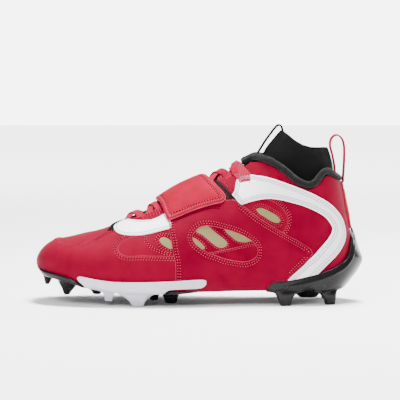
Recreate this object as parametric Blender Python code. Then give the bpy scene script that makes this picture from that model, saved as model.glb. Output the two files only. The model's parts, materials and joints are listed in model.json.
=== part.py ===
"""American football cleat, one left shoe, standing on its studs.

The x axis runs along the shoe with the toe at -x, -y is the outer side of the foot, z is up and
0 is the ground. Every table below is in millimetres and is scaled to metres when a mesh is made.
"""
import math

import bmesh
import bpy
import numpy as np

for item in list(bpy.data.objects):
    bpy.data.objects.remove(item, do_unlink=True)

# ---------------------------------------------------------------- sizes
GAP = 0.3             # clearance between pieces that meet
SEAT = 0.55           # the same under the curved plates
WALL = 2.0            # upper
KNIT = 1.8            # sock collar and tongue
BOARD = 3.0           # insole
PLATE = 2.6           # outsole plates
PANEL = 1.2           # quarter panels
STRAP_THICK = 2.5
ROLL_RADIUS = 3.1     # padded roll around the collar
TAPE = 1.3            # webbing
LACE_WIDE, LACE_THICK = 7.0, 1.2
FLANGE = 12.0         # how far the upper turns in under the foot
# ---------------------------------------------------------------- the last
# All tables are in millimetres: x runs from toe (negative) to heel, y from the
# outer (lateral, negative) to the inner (medial) side, z up from the ground.
MM = 0.001
TIP_X = -151.0        # foremost point of the upper
TIP_Z = 37.7          # its height
FAN_X = 99.0          # behind this station the heel is built on plan curves
FAN_LENGTH = 60.0     # length of the heel's quarter curve, for the run coordinate
LOW = 0.25            # share of the side coordinate that is below the bulge

LAST_COLUMNS = ("x", "centre", "bulge_lat", "bulge_med", "tuck_lat", "tuck_med",
                "bulge_at", "bottom", "ridge", "ridge_shift", "rise", "crown")
LAST = (
    (-151.0, 6.5, 39.5, 38.5, 3.0, 3.0, 0.36, 29.0, 56.0, 0.0, 0.66, 0.66),
    (-141.0, 6.0, 40.0, 38.6, 3.2, 3.2, 0.35, 28.2, 57.0, 0.5, 0.66, 0.66),
    (-131.0, 5.0, 41.0, 39.3, 3.5, 3.5, 0.34, 26.6, 58.3, 1.0, 0.65, 0.66),
    (-121.0, 4.0, 42.5, 40.0, 4.0, 4.0, 0.33, 24.3, 60.1, 2.0, 0.64, 0.65),
    (-106.0, 2.5, 45.5, 42.5, 4.5, 4.5, 0.31, 20.6, 63.8, 3.0, 0.62, 0.62),
    (-86.0, 1.0, 48.5, 46.5, 5.0, 5.0, 0.29, 17.2, 69.0, 4.0, 0.58, 0.60),
    (-66.0, 0.0, 50.5, 49.0, 5.0, 5.0, 0.27, 15.6, 78.0, 5.0, 0.53, 0.58),
    (-46.0, 0.0, 51.5, 48.0, 5.0, 6.0, 0.25, 15.0, 86.5, 5.5, 0.49, 0.56),
    (-26.0, 0.0, 50.0, 45.0, 5.5, 8.0, 0.24, 14.8, 98.0, 5.5, 0.46, 0.54),
    (-1.0, 0.0, 46.0, 40.5, 6.5, 10.0, 0.24, 14.8, 110.5, 5.0, 0.44, 0.54),
    (24.0, 0.0, 42.0, 37.5, 7.0, 9.5, 0.25, 15.0, 121.5, 4.0, 0.44, 0.56),
    (40.0, 0.0, 39.8, 36.6, 6.5, 8.0, 0.26, 15.0, 132.0, 2.5, 0.46, 0.58),
    (56.0, 0.0, 38.3, 36.1, 6.0, 6.5, 0.25, 15.0, 150.0, 1.2, 0.46, 0.60),
    (74.0, 0.0, 37.3, 36.0, 5.5, 5.5, 0.20, 15.1, 195.0, 0.4, 0.46, 0.62),
    (99.0, 0.0, 36.5, 36.5, 5.0, 5.0, 0.15, 15.3, 250.0, 0.0, 0.44, 0.62),
    (120.0, 0.0, 36.0, 36.5, 5.0, 5.0, 0.13, 15.4, 262.0, 0.0, 0.44, 0.62),
)
# The back of the heel, seen from the side.
BACK_COLUMNS = ("z", "x")
BACK = ((15.0, 133.5), (22.0, 136.5), (35.0, 139.3), (50.0, 140.4), (62.0, 139.8), (76.0, 137.6),
        (94.0, 133.8), (112.0, 130.4), (130.0, 127.5), (160.0, 123.0), (262.0, 110.0))


def natural_spline(xs, ys):
    """A smooth curve through the rows of a table, with continuous curvature."""
    xs, ys = np.asarray(xs, float), np.asarray(ys, float)
    n, h = len(xs), np.diff(xs)
    lhs, rhs = np.eye(n), np.zeros(n)
    for i in range(1, n - 1):
        lhs[i, i - 1:i + 2] = h[i - 1], 2 * (h[i - 1] + h[i]), h[i]
        rhs[i] = 6 * ((ys[i + 1] - ys[i]) / h[i] - (ys[i] - ys[i - 1]) / h[i - 1])
    m = np.linalg.solve(lhs, rhs)

    def at(q):
        q = np.asarray(q, float)
        i = np.clip(np.searchsorted(xs, q) - 1, 0, n - 2)
        a, b = xs[i + 1] - q, q - xs[i]
        return (m[i] * a ** 3 + m[i + 1] * b ** 3) / (6 * h[i]) \
            + (ys[i] / h[i] - m[i] * h[i] / 6) * a + (ys[i + 1] / h[i] - m[i + 1] * h[i] / 6) * b
    return at


def monotone_spline(xs, ys):
    """A smooth curve through the rows that never swings past them."""
    xs, ys = np.asarray(xs, float), np.asarray(ys, float)
    h = np.diff(xs)
    d = np.diff(ys) / h
    m = np.zeros(len(xs))
    m[0], m[-1] = d[0], d[-1]
    for i in range(1, len(xs) - 1):
        if d[i - 1] * d[i] > 0:
            w1, w2 = 2 * h[i] + h[i - 1], h[i] + 2 * h[i - 1]
            m[i] = (w1 + w2) / (w1 / d[i - 1] + w2 / d[i])

    def at(q):
        q = np.clip(np.asarray(q, float), xs[0], xs[-1])
        i = np.clip(np.searchsorted(xs, q) - 1, 0, len(xs) - 2)
        t = (q - xs[i]) / h[i]
        return ys[i] * (1 + 2 * t) * (1 - t) ** 2 + h[i] * m[i] * t * (1 - t) ** 2 \
            + ys[i + 1] * t * t * (3 - 2 * t) + h[i] * m[i + 1] * t * t * (t - 1)
    return at


def table_curves(columns, rows, key, make=natural_spline):
    """One curve for each column of a table, against its key column."""
    data = np.array(rows, float)
    k = data[:, columns.index(key)]
    return {name: make(k, data[:, columns.index(name)]) for name in columns if name != key}


LAST_AT = table_curves(LAST_COLUMNS, LAST, "x")
BACK_AT = table_curves(BACK_COLUMNS, BACK, "z", monotone_spline)["x"]


def rounding(d, reach, power):
    """0 at the toe's tip, 1 from reach onward, along a rounded end."""
    q = np.clip(1 - np.asarray(d, float) / reach, 0, 1)
    return (1 - q ** power) ** (1 / power)


def section(x, v, side):
    """(y, z) on the last's outline at station x. v is -1 at the middle of the underside, 0 at the
    feather edge, LOW at the bulge and 1 at the ridge. side is -1 for lateral, 1 for medial."""
    x, v = np.broadcast_arrays(np.asarray(x, float), np.asarray(v, float))
    c = {k: f(x) for k, f in LAST_AT.items()}
    d = np.clip(x - TIP_X, 0, None)
    wide, high, deep = rounding(d, 46, 2.3), rounding(d, 22, 1.8), rounding(d, 15, 2.0)
    bulge = np.where(side < 0, c["bulge_lat"], c["bulge_med"]) * wide
    tuck = np.where(side < 0, c["tuck_lat"], c["tuck_med"]) * wide
    zb = TIP_Z - (TIP_Z - c["bottom"]) * deep
    zt = TIP_Z + (c["ridge"] - TIP_Z) * high
    zk = zb + c["bulge_at"] * (zt - zb)
    ridge = side * c["ridge_shift"] * wide
    # below the bulge: a rounded corner, square enough to leave a flat underside
    turn = np.clip(v / LOW, 0, 1) * math.pi / 2
    low_w = bulge - tuck + tuck * np.sin(turn) ** (2 / 2.6)
    low_z = zk - (zk - zb) * np.cos(turn) ** (2 / 2.6)
    # above it: one arch to the ridge
    t = np.clip((v - LOW) / (1 - LOW), 0, 1)
    b0, b1, b2, b3 = (1 - t) ** 3, 3 * t * (1 - t) ** 2, 3 * t * t * (1 - t), t ** 3
    up_w = bulge * (b0 + b1) + (ridge + c["crown"] * (bulge - ridge)) * b2 + ridge * b3
    up_z = zk * b0 + (zk + c["rise"] * (zt - zk)) * b1 + zt * (b2 + b3)
    w = np.where(v < LOW, low_w, up_w)
    z = np.where(v < LOW, low_z, up_z)
    under = np.clip(1 + v, 0, 1)
    w = np.where(v < 0, (bulge - tuck) * under, w)
    return c["centre"] + side * w, np.where(v < 0, zb, z)


def form(run, v, side):
    """A point of the last. run is x up to FAN_X, and then the length along the heel's curve."""
    run, v = np.broadcast_arrays(np.asarray(run, float), np.asarray(v, float))
    x = np.minimum(run, FAN_X)
    y, z = section(x, v, side)
    s = np.clip((run - FAN_X) / FAN_LENGTH, 0, 1)
    y0, _ = section(np.full(run.shape, FAN_X - 1.0), v, side)
    slope = (section(np.full(run.shape, FAN_X), v, side)[0] - y0)
    low = np.sin(np.clip(v / LOW, 0, 1) * math.pi / 2) ** (2 / 2.6)
    reach = BACK_AT(z) - 5.0 * (1 - low) - FAN_X
    p1x, p1y = FAN_X + 0.60 * reach, y + slope * 0.60 * reach
    p2x, p2y = FAN_X + reach, 0.62 * y
    b0, b1, b2, b3 = (1 - s) ** 3, 3 * s * (1 - s) ** 2, 3 * s * s * (1 - s), s ** 3
    fx = FAN_X * b0 + p1x * b1 + p2x * b2 + p2x * b3
    fy = y * b0 + p1y * b1 + p2y * b2
    under = np.clip(1 + v, 0, 1)
    yf = section(np.full(run.shape, FAN_X), np.zeros(run.shape), side)[0]
    rf = BACK_AT(z) - 5.0 - FAN_X
    ux = FAN_X + under * (b1 * 0.60 + b2 + b3) * rf
    uy = under * (yf * b0 + yf * b1 + 0.62 * yf * b2)
    fan = run > FAN_X
    px = np.where(fan, np.where(v < 0, ux, fx), run)
    py = np.where(fan, np.where(v < 0, uy, fy), y)
    return np.stack([px, py, z], axis=-1)


def one_side_normal(run, v, side, step=0.35):
    lo = np.clip(run, TIP_X + 0.6, None)
    along = form(lo + step, v, side) - form(lo - step, v, side)
    dv = 0.004
    around = form(lo, np.minimum(v + dv, 1.0), side) - form(lo, v - dv, side)
    n = np.cross(along, around) * side * -1.0
    return n / np.maximum(np.linalg.norm(n, axis=-1, keepdims=True), 1e-9)


def normal(run, v, side):
    """The outward direction of the last at that point. Both sides agree along the ridge, the middle
    of the underside, the back of the heel and the toe's tip."""
    run, v = np.broadcast_arrays(np.asarray(run, float), np.asarray(v, float))
    n = one_side_normal(run, v, side)
    seam = ((v > 0.9995) | (v < -0.9995))[..., None]
    n = np.where(seam, n + one_side_normal(run, v, -side), n)
    n = n * np.where(run >= FAN_X + FAN_LENGTH - 1e-6, 0.0, 1.0)[..., None] ** np.array([0, 1, 0])
    tip = (run <= TIP_X + 1e-6)[..., None]
    n = np.where(tip, np.array([-1.0, 0.0, 0.0]), n)
    hub = ((v < -0.9995) & (run > FAN_X - 1e-6))[..., None]
    n = np.where(hub, np.array([0.0, 0.0, -1.0]), n)
    return n / np.maximum(np.linalg.norm(n, axis=-1, keepdims=True), 1e-9)


def skin(run, v, side, off=0.0):
    """A point at a height off above the last, or below it where off is negative."""
    return form(run, v, side) + normal(run, v, side) * np.asarray(off, float)[..., None]


def v_at_height(run, z, side):
    """The side coordinate above the bulge at which the last stands at height z."""
    vs = np.linspace(LOW, 1, 160)
    out = []
    for r, h in zip(np.atleast_1d(run), np.broadcast_to(z, np.shape(np.atleast_1d(run)))):
        zz = form(np.full(vs.shape, r), vs, side)[:, 2]
        out.append(np.interp(h, zz, vs))
    return np.array(out)


def v_at_low(run, z, side):
    """The same below the bulge."""
    vs = np.linspace(0, LOW, 80)
    out = []
    for r, h in zip(np.atleast_1d(run), np.broadcast_to(z, np.shape(np.atleast_1d(run)))):
        zz = form(np.full(vs.shape, r), vs, side)[:, 2]
        out.append(np.interp(h, zz, vs))
    return np.array(out)


def v_at_z(run, z, side):
    """The side coordinate at which the last stands at height z, from feather edge to ridge."""
    vs = np.concatenate([np.linspace(0, LOW, 80), np.linspace(LOW, 1, 160)[1:]])
    out = []
    for r, h in zip(np.atleast_1d(run), np.broadcast_to(z, np.shape(np.atleast_1d(run)))):
        zz = form(np.full(vs.shape, r), vs, side)[:, 2]
        out.append(np.interp(h, zz, vs))
    return np.array(out)


def v_at_gap(x, gap, side):
    """The side coordinate whose distance across from the ridge line is gap."""
    vs = np.linspace(LOW, 1, 300)
    out = []
    for r, g in zip(np.atleast_1d(x), np.broadcast_to(gap, np.shape(np.atleast_1d(x)))):
        yy = form(np.full(vs.shape, r), vs, side)[:, 1]
        away = np.abs(yy - yy[-1])
        out.append(np.interp(-g, -away, vs))
    return np.array(out)


def v_at_girth(run, girth, side):
    """The side coordinate at a length girth down from the ridge, along the surface."""
    vs = np.linspace(0, 1, 400)
    out = []
    for r, g in zip(np.atleast_1d(run), np.broadcast_to(girth, np.shape(np.atleast_1d(run)))):
        p = form(np.full(vs.shape, r), vs, side)[::-1]
        s = np.concatenate([[0], np.cumsum(np.linalg.norm(np.diff(p, axis=0), axis=1))])
        out.append(np.interp(g, s, vs[::-1]))
    return np.array(out)


# ---------------------------------------------------------------- tables of edges on the last
# The upper's edge under the padded roll, from the throat round to the back of the heel.
COLLAR_COLUMNS = ("run", "z")
COLLAR = ((47.0, 129.6), (52.0, 130.7), (56.1, 130.5), (61.6, 128.5), (69.9, 124.4), (78.1, 118.3),
          (85.0, 112.4), (91.4, 108.4), (98.7, 106.3), (104.2, 107.6), (110.1, 111.2),
          (116.0, 116.5), (122.6, 118.3), (131.5, 115.6), (145.0, 112.7), (159.0, 111.0))
# The middle line of that roll; its first row lies on the ridge.
ROLL_COLUMNS = ("run", "z", "radius")
ROLL = ((40.5, 0.0, 3.1), (41.6, 131.2, 3.1), (45.5, 133.7, 3.2), (53.5, 135.1, 3.3),
        (61.6, 132.8, 3.3), (69.9, 128.7, 3.3), (78.1, 122.8, 3.3), (85.0, 116.9, 3.3),
        (91.4, 112.7, 3.3), (98.7, 110.6, 3.3), (104.2, 112.0, 3.3), (110.1, 116.5, 3.2),
        (116.0, 121.6, 3.1), (122.6, 123.0, 3.0), (131.5, 119.9, 2.8), (145.0, 116.9, 2.6),
        (159.0, 115.0, 2.5))
# Half the width of the throat, across from the ridge.
THROAT_COLUMNS = ("run", "gap")
THROAT = ((-81.0, 0.0), (-80.3, 4.0), (-78.6, 7.0), (-75.0, 9.6), (-66.0, 12.0), (-48.0, 13.5),
          (-20.0, 14.5), (10.0, 15.2), (47.0, 15.5))
# Half the width of the openings under the foot, as a share of the foot's own half width.
UNDER_COLUMNS = ("run", "open")
UNDER = ((-151.0, 0.0), (-138.0, 0.0), (-136.5, 0.25), (-133.0, 0.45), (-126.0, 0.60),
         (-110.0, 0.70), (-80.0, 0.73), (-50.0, 0.72), (-30.0, 0.68), (-20.0, 0.55),
         (-14.5, 0.30), (-13.0, 0.0), (66.0, 0.0), (67.5, 0.28), (72.0, 0.50), (80.0, 0.60),
         (99.0, 0.62), (159.0, 0.62))
# Side edges of the outsole plates: the side coordinate at which each one ends.
GUARD_COLUMNS = ("run", "edge")
GUARD = ((-150.1, 0.00), (-149.4, 0.09), (-147.0, 0.125), (-141.0, 0.14), (-133.5, 0.14),
         (-120.4, 0.129), (-111.9, 0.10), (-107.0, 0.055), (-103.5, 0.0), (-99.0, -0.20),
         (-95.0, -0.38), (-40.0, -0.38), (-37.0, -0.30), (-34.0, -0.12), (-31.0, 0.02),
         (-27.0, 0.066), (-20.0, 0.070), (-4.0, 0.072), (1.0, 0.075))
SIDE_PLATE_COLUMNS = ("run", "low", "high")
SIDE_PLATE = ((-110.0, 0.150, 0.176), (-108.5, 0.118, 0.187), (-106.7, 0.095, 0.190),
              (-103.0, 0.040, 0.190), (-99.0, -0.160, 0.188), (-95.0, -0.350, 0.186),
              (-81.0, -0.355, 0.180), (-59.2, -0.355, 0.180),
              (-43.9, -0.355, 0.182), (-40.0, -0.350, 0.181), (-37.0, -0.260, 0.1805),
              (-34.0, -0.070, 0.180), (-31.0, 0.060, 0.1795), (-27.0, 0.094, 0.179),
              (-5.6, 0.098, 0.178), (0.0, 0.101, 0.176),
              (3.2, 0.115, 0.173), (5.4, 0.138, 0.166))
CUP_COLUMNS = ("run", "z")
CUP = ((60.5, 17.0), (63.0, 19.4), (68.8, 22.4), (80.2, 23.6), (101.0, 28.0), (112.7, 31.4),
       (122.8, 35.5), (132.3, 39.8), (139.5, 46.5), (143.8, 54.0), (150.0, 62.0), (159.0, 68.6))
# How far the spur at the back stands off the heel, against height.
SPUR_COLUMNS = ("z", "off")
SPUR = ((15.0, 0.3), (19.7, 0.9), (31.3, 5.2), (40.5, 8.0), (50.0, 3.9), (59.5, 1.3),
        (68.6, 0.0))

# Studs: each row is one level of a stud, from the tip up. front/rear are x, inner/outer |y|.
STUD_COLUMNS = ("z", "front", "rear", "inner", "outer")
STUDS = {
    # name: (plate, sides, levels)
    "main": ("side", (-1, 1), ((0.0, -60.6, -51.6, 37.2, 43.2), (3.6, -62.8, -50.7, 35.8, 44.4),
                               (8.2, -67.4, -46.6, 34.0, 46.2), (99.0, -72.0, -40.0, 34.5, 46.6))),
    "third": ("side", (-1, 1), ((4.6, -86.0, -80.2, 34.5, 39.0), (10.4, -87.2, -78.4, 33.4, 40.5),
                                (99.0, -89.0, -75.0, 34.0, 42.0))),
    "second": ("toe", (-1, 1), ((8.8, -124.6, -119.8, 21.6, 26.0), (11.4, -125.5, -118.2, 20.6, 27.0),
                                (99.0, -128.2, -112.6, 18.6, 30.0))),
    "first": ("toe", (-1, 1), ((16.4, -143.2, -139.6, 6.0, 10.4), (19.6, -144.0, -138.2, 5.0, 11.4),
                               (99.0, -145.4, -136.4, 3.8, 13.0))),
    "inner": ("toe", (-1, 1), ((1.0, -31.0, -22.0, 16.0, 24.0), (6.4, -33.4, -20.0, 14.4, 26.0),
                               (99.0, -36.0, -10.0, 12.0, 29.0))),
    "centre": ("toe", (0,), ((1.4, -46.0, -39.4, -3.4, 3.4), (5.0, -47.2, -38.0, -4.6, 4.6),
                             (99.0, -52.0, -34.0, -7.0, 7.0))),
    "middle": ("toe", (-1, 1), ((8.2, -98.0, -92.0, 12.0, 17.0), (10.6, -99.4, -90.4, 10.6, 18.4),
                                (99.0, -102.0, -87.0, 9.0, 20.0))),
    "blade_front": ("heel", (-1, 1), ((0.0, 73.5, 82.6, 29.6, 36.0), (2.0, 72.3, 83.0, 28.6, 36.8),
                                      (8.0, 70.6, 85.6, 26.6, 37.4), (99.0, 66.0, 91.0, 24.0, 36.6))),
    "blade_rear": ("heel", (-1, 1), ((0.0, 114.6, 123.6, 20.2, 26.6), (2.0, 114.0, 124.2, 19.4, 27.6),
                                     (8.0, 111.4, 125.0, 18.4, 28.6), (99.0, 104.0, 124.6, 17.6, 27.8))),
    "pad": ("heel", (0,), ((9.4, 84.0, 110.0, -15.0, 15.0), (10.6, 80.0, 113.0, -18.0, 18.0),
                           (99.0, 77.0, 116.0, -20.0, 20.0))),
}

# The quarter panel on each side and the oval window in it, seen from the side.
OUTLINE_COLUMNS = ("x", "z")
QUARTER = ((-27.0, 77.0), (-14.0, 80.6), (6.0, 87.4), (22.8, 92.6), (33.0, 93.6), (41.5, 89.4),
           (51.7, 81.6), (63.8, 73.6), (76.0, 66.4), (88.0, 59.8), (99.0, 53.0), (102.0, 47.0),
           (97.5, 40.0), (90.0, 33.0), (80.0, 27.8), (62.0, 26.6), (40.0, 26.6), (20.0, 27.0),
           (0.0, 28.2), (-14.0, 28.4), (-21.0, 29.6), (-22.4, 38.0), (-23.6, 48.0), (-25.6, 62.0))
WINDOW = ((-6.2, 63.0), (-4.6, 69.6), (0.6, 73.6), (9.0, 73.6), (19.0, 71.6), (29.0, 69.0),
          (38.4, 65.2), (46.8, 60.2), (51.8, 54.6), (52.2, 48.4), (47.6, 43.0), (40.0, 40.8),
          (30.8, 41.8), (21.6, 44.0), (12.8, 47.0), (4.6, 50.8), (-2.4, 56.6))
# The strap: where its front and rear edges lie on the instep, against the length down from the ridge.
STRAP_COLUMNS = ("girth", "front", "rear", "off")
STRAP_LATERAL = ((0.0, -38.0, 4.0, 4.2), (6.0, -37.4, 7.4, 4.0), (13.0, -36.0, 12.0, 3.4),
                 (21.0, -34.0, 17.8, 2.8), (29.0, -31.8, 21.6, 2.4), (36.0, -29.6, 22.4, 2.2),
                 (39.5, -28.0, 20.5, 2.2))
STRAP_MEDIAL = ((0.0, -38.0, 4.0, 4.2), (7.0, -38.2, 1.5, 4.0), (15.0, -38.0, -0.5, 3.3),
                (25.0, -37.0, -1.5, 2.9), (38.0, -35.5, -1.5, 2.8), (52.0, -34.0, -1.0, 2.8),
                (64.0, -32.5, 0.0, 2.8))
# Laces: where each leg starts and ends, as x and the distance across from the ridge.
LACE_COLUMNS = ("x_lateral", "gap_lateral", "x_medial", "gap_medial", "lift")
LACES = {
    "lace_cross_front": ((-67.0, 14.5, -55.0, 14.5, 0.0), (-55.0, 14.5, -67.0, 14.5, 0.7)),
    "lace_cross_middle": ((-46.0, 15.0, -38.0, 15.0, 0.0), (-38.0, 15.0, -46.0, 15.0, 0.7)),
    "lace_cross_rear": ((9.0, 17.0, 25.0, 16.0, 0.0), (25.0, 16.0, 9.0, 17.0, 0.7)),
    "lace_bar_top": ((32.9, 16.0, 32.9, 16.0, 0.0),),
}
# Paths of the two pull loops, in the middle plane.
PULL_COLUMNS = ("x", "z")
PULL_FRONT = ((50.6, 133.8), (53.3, 137.8), (57.5, 144.6), (62.8, 152.6), (67.0, 158.2), (70.4, 162.4),
              (72.7, 163.8), (74.9, 162.9), (75.6, 160.9))
PULL_HEEL = ((124.7, 122.6), (124.2, 126.5), (123.3, 131.5), (122.0, 137.5), (120.4, 143.5), (120.4, 148.6),
             (122.5, 152.8), (126.2, 154.6), (129.9, 152.6), (132.5, 147.6), (133.4, 140.2),
             (133.2, 130.2), (132.8, 122.2), (132.4, 116.4), (132.3, 113.2))
# The sock above the roll: sections from the collar to the top opening.
TOP_COLUMNS = ("x", "y", "z")
SOCK_TOP = ((74.6, 0.0, 158.9), (76.4, 9.0, 157.6), (81.6, 16.4, 153.9), (88.5, 20.6, 148.8),
            (96.0, 22.0, 144.9), (103.0, 21.4, 142.6), (109.5, 18.0, 142.5), (114.6, 12.0, 143.0),
            (117.0, 6.0, 143.2), (117.8, 0.0, 143.2))

MATERIALS = {
    # name: colour, roughness, metallic
    "red": ((0.60, 0.010, 0.045), 0.62, 0.0),
    "black_knit": ((0.014, 0.014, 0.016), 0.90, 0.0),
    "fleece": ((0.030, 0.030, 0.033), 0.95, 0.0),
    "board": ((0.030, 0.030, 0.032), 0.85, 0.0),
    "dark_plate": ((0.040, 0.038, 0.040), 0.32, 0.0),
    "pale_plate": ((0.72, 0.69, 0.71), 0.38, 0.0),
    "red_leather": ((0.50, 0.006, 0.030), 0.45, 0.0),
    "webbing_red": ((0.62, 0.012, 0.050), 0.75, 0.0),
    "webbing_black": ((0.016, 0.016, 0.018), 0.80, 0.0),
    "lace": ((0.66, 0.018, 0.060), 0.80, 0.0),
}


def material(name):
    """The named material, made once."""
    found = bpy.data.materials.get(name)
    if found:
        return found
    colour, rough, metal = MATERIALS[name]
    made = bpy.data.materials.new(name)
    made.use_nodes = True
    shader = made.node_tree.nodes["Principled BSDF"]
    shader.inputs["Base Color"].default_value = (*colour, 1.0)
    shader.inputs["Roughness"].default_value = rough
    shader.inputs["Metallic"].default_value = metal
    made.diffuse_color = (*colour, 1.0)
    return made


def collection(name):
    made = bpy.data.collections.new(name)
    bpy.context.scene.collection.children.link(made)
    return made


SHOE = collection("football_cleat")
CUTTERS = collection("cutters")


def finish(name, bm, finish_name, home=None):
    """Close a bmesh into a named object with its material."""
    bmesh.ops.recalc_face_normals(bm, faces=bm.faces)
    mesh = bpy.data.meshes.new(name)
    bm.to_mesh(mesh)
    bm.free()
    made = bpy.data.objects.new(name, mesh)
    (home or SHOE).objects.link(made)
    made.data.materials.append(material(finish_name))
    return made


def shell(name, patches, finish_name, home=None, near=0.02):
    """A closed solid between outer and inner grids. Patches that share outer points are joined, and
    every free edge gets a rim."""
    ids, outs, ins, quads = {}, [], [], []
    for outer, inner in patches:
        rows, cols = outer.shape[:2]
        index = np.zeros((rows, cols), int)
        for i in range(rows):
            for j in range(cols):
                key = tuple(np.round(outer[i, j] / near).astype(int))
                found = None
                for a in (0, -1, 1):
                    for b in (0, -1, 1):
                        for c in (0, -1, 1):
                            found = ids.get((key[0] + a, key[1] + b, key[2] + c))
                            if found is not None:
                                break
                        if found is not None:
                            break
                    if found is not None:
                        break
                if found is None:
                    found = len(outs)
                    ids[key] = found
                    outs.append(outer[i, j])
                    ins.append([inner[i, j]])
                else:
                    ins[found].append(inner[i, j])
                index[i, j] = found
        for i in range(rows - 1):
            for j in range(cols - 1):
                loop = []
                for k in (index[i, j], index[i + 1, j], index[i + 1, j + 1], index[i, j + 1]):
                    if k not in loop:
                        loop.append(int(k))
                if len(loop) > 2:
                    quads.append(loop)
    bm = bmesh.new()
    top = [bm.verts.new(np.asarray(p) * MM) for p in outs]
    low = [bm.verts.new(np.mean(p, axis=0) * MM) for p in ins]
    used = {}
    for loop in quads:
        for a, b in zip(loop, loop[1:] + loop[:1]):
            used.setdefault((min(a, b), max(a, b)), []).append((a, b))
    for loop in quads:
        bm.faces.new([top[k] for k in loop])
        bm.faces.new([low[k] for k in reversed(loop)])
    for edges in used.values():
        if len(edges) == 1:
            a, b = edges[0]
            bm.faces.new([top[b], top[a], low[a], low[b]])
    return finish(name, bm, finish_name, home)


def loft(name, rings, finish_name, home=None, closed=True):
    """A closed solid through rings of equal count, with flat ends."""
    bm = bmesh.new()
    rows = [[bm.verts.new(np.asarray(p) * MM) for p in ring] for ring in rings]
    n = len(rows[0])
    for a, b in zip(rows[:-1], rows[1:]):
        for k in range(n):
            bm.faces.new([a[k], a[(k + 1) % n], b[(k + 1) % n], b[k]])
    bm.faces.new(list(reversed(rows[0])))
    bm.faces.new(rows[-1])
    return finish(name, bm, finish_name, home)


def join(target, pieces):
    """Weld pieces onto target with Boolean modifiers."""
    for piece in pieces:
        piece.hide_render = True
        piece.display_type = "WIRE"
        step = target.modifiers.new(piece.name, "BOOLEAN")
        step.operation = "UNION"
        step.solver = "EXACT"
        step.object = piece


def of_table(columns, rows, key="run"):
    return table_curves(columns, rows, key, monotone_spline)


# ---------------------------------------------------------------- upper
collar_z = of_table(COLLAR_COLUMNS, COLLAR)["z"]
throat_gap = of_table(THROAT_COLUMNS, THROAT)["gap"]
under_open = of_table(UNDER_COLUMNS, UNDER)["open"]


def upper_top(run, side):
    """The side coordinate of the upper's free edge."""
    run = np.asarray(run, float)
    out = np.ones(run.shape)
    mid = (run > THROAT[0][0]) & (run <= 47.0)
    out[mid] = v_at_gap(run[mid], throat_gap(run[mid]), side)
    back = run > 47.0
    out[back] = v_at_z(run[back], collar_z(run[back]), side)
    return out


def spread(low, high, shares):
    """Rows of a coordinate between two edges."""
    low, high = np.asarray(low, float), np.asarray(high, float)
    return low[:, None] + (high - low)[:, None] * np.asarray(shares)[None, :]


def upper_patch(run, side, off_out, off_in, under_rows=(0.0,), low_rows=(0.0, 0.25, 0.55, 1.0),
                side_rows=7):
    top = upper_top(run, side)
    under = spread(under_open(run) - 1.0, np.zeros(run.shape), under_rows)
    low = spread(np.zeros(run.shape), np.full(run.shape, LOW), low_rows)[:, :-1]
    side_part = spread(np.full(run.shape, LOW), top, np.linspace(0, 1, side_rows + 1))
    v = np.concatenate([under, low, side_part], axis=1)
    grid_run = np.repeat(run[:, None], v.shape[1], axis=1)
    return skin(grid_run, v, side, off_out), skin(grid_run, v, side, off_in)


UPPER_RUN = np.array([-151, -150.6, -149.4, -147, -143, -138, -135.5, -131, -122, -110, -96, -81,
                      -80.3, -78.6, -75, -67, -54, -38, -24, -17, -13, 4, 20, 34, 47, 51, 56, 61, 66,
                      70, 77, 83, 90, 99, 105, 110.5, 115, 121, 130, 140, 150, 159], float)
shell("upper", [upper_patch(UPPER_RUN, side, 0.0, -WALL) for side in (-1, 1)], "red")

# ---------------------------------------------------------------- insole
INSOLE_RUN = np.array([-142, -139, -134, -126, -112, -90, -66, -46, -20, 10, 50, 76, 99, 111, 123, 135,
                       147, 159], float)


def insole_patch(side):
    reach = 0.94 * np.clip((INSOLE_RUN + 143.0) / 3.0, 0.55, 1) ** 0.5
    v = spread(np.full(INSOLE_RUN.shape, -1.0), reach - 1.0, (0.0, 0.35, 0.7, 1.0))
    run = np.repeat(INSOLE_RUN[:, None], v.shape[1], axis=1)
    return skin(run, v, side, -WALL - GAP), skin(run, v, side, -WALL - GAP - BOARD)


shell("insole", [insole_patch(side) for side in (-1, 1)], "board")

# ---------------------------------------------------------------- sock collar, tongue and roll
roll_rows = np.array(ROLL, float)


def roll_centre(side):
    """The roll's middle line on one side, from the ridge to the back of the heel."""
    run, z = roll_rows[:, 0], roll_rows[:, 1]
    v = v_at_z(run, np.where(z > 0, z, 999.0), side)
    v[0] = 1.0
    return run, v


def roll_path():
    """The roll's whole path with a radius at each point."""
    points, radii = [], []
    for side in (-1, 1):
        run, v = roll_centre(side)
        line = skin(run, v, side, -1.0)
        line = line if side < 0 else line[::-1][1:-1]
        radius = roll_rows[:, 2] if side < 0 else roll_rows[:, 2][::-1][1:-1]
        points += [tuple(p) for p in line]
        radii += list(radius)
    return points, radii


def tube(name, points, radii, finish_name, cyclic):
    curve = bpy.data.curves.new(name, "CURVE")
    curve.dimensions = "3D"
    curve.bevel_depth = 1.0 * MM
    curve.bevel_resolution = 2
    curve.use_fill_caps = True
    spline = curve.splines.new("POLY")
    spline.points.add(len(points) - 1)
    for point, p, r in zip(spline.points, points, radii):
        point.co = (*(np.asarray(p) * MM), 1.0)
        point.radius = r
    spline.use_cyclic_u = cyclic
    made = bpy.data.objects.new(name, curve)
    SHOE.objects.link(made)
    made.data.materials.append(material(finish_name))
    return made


tube("collar_roll", *roll_path(), "fleece", True)

# Offsets below the last's surface: deep in the upper, at its edge, behind the roll, above it.
SOCK_DROP = (12.0, 4.6, 0.0, -4.5)
SOCK_OFF = (-4.1, -4.3, -5.3, -5.6)


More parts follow.
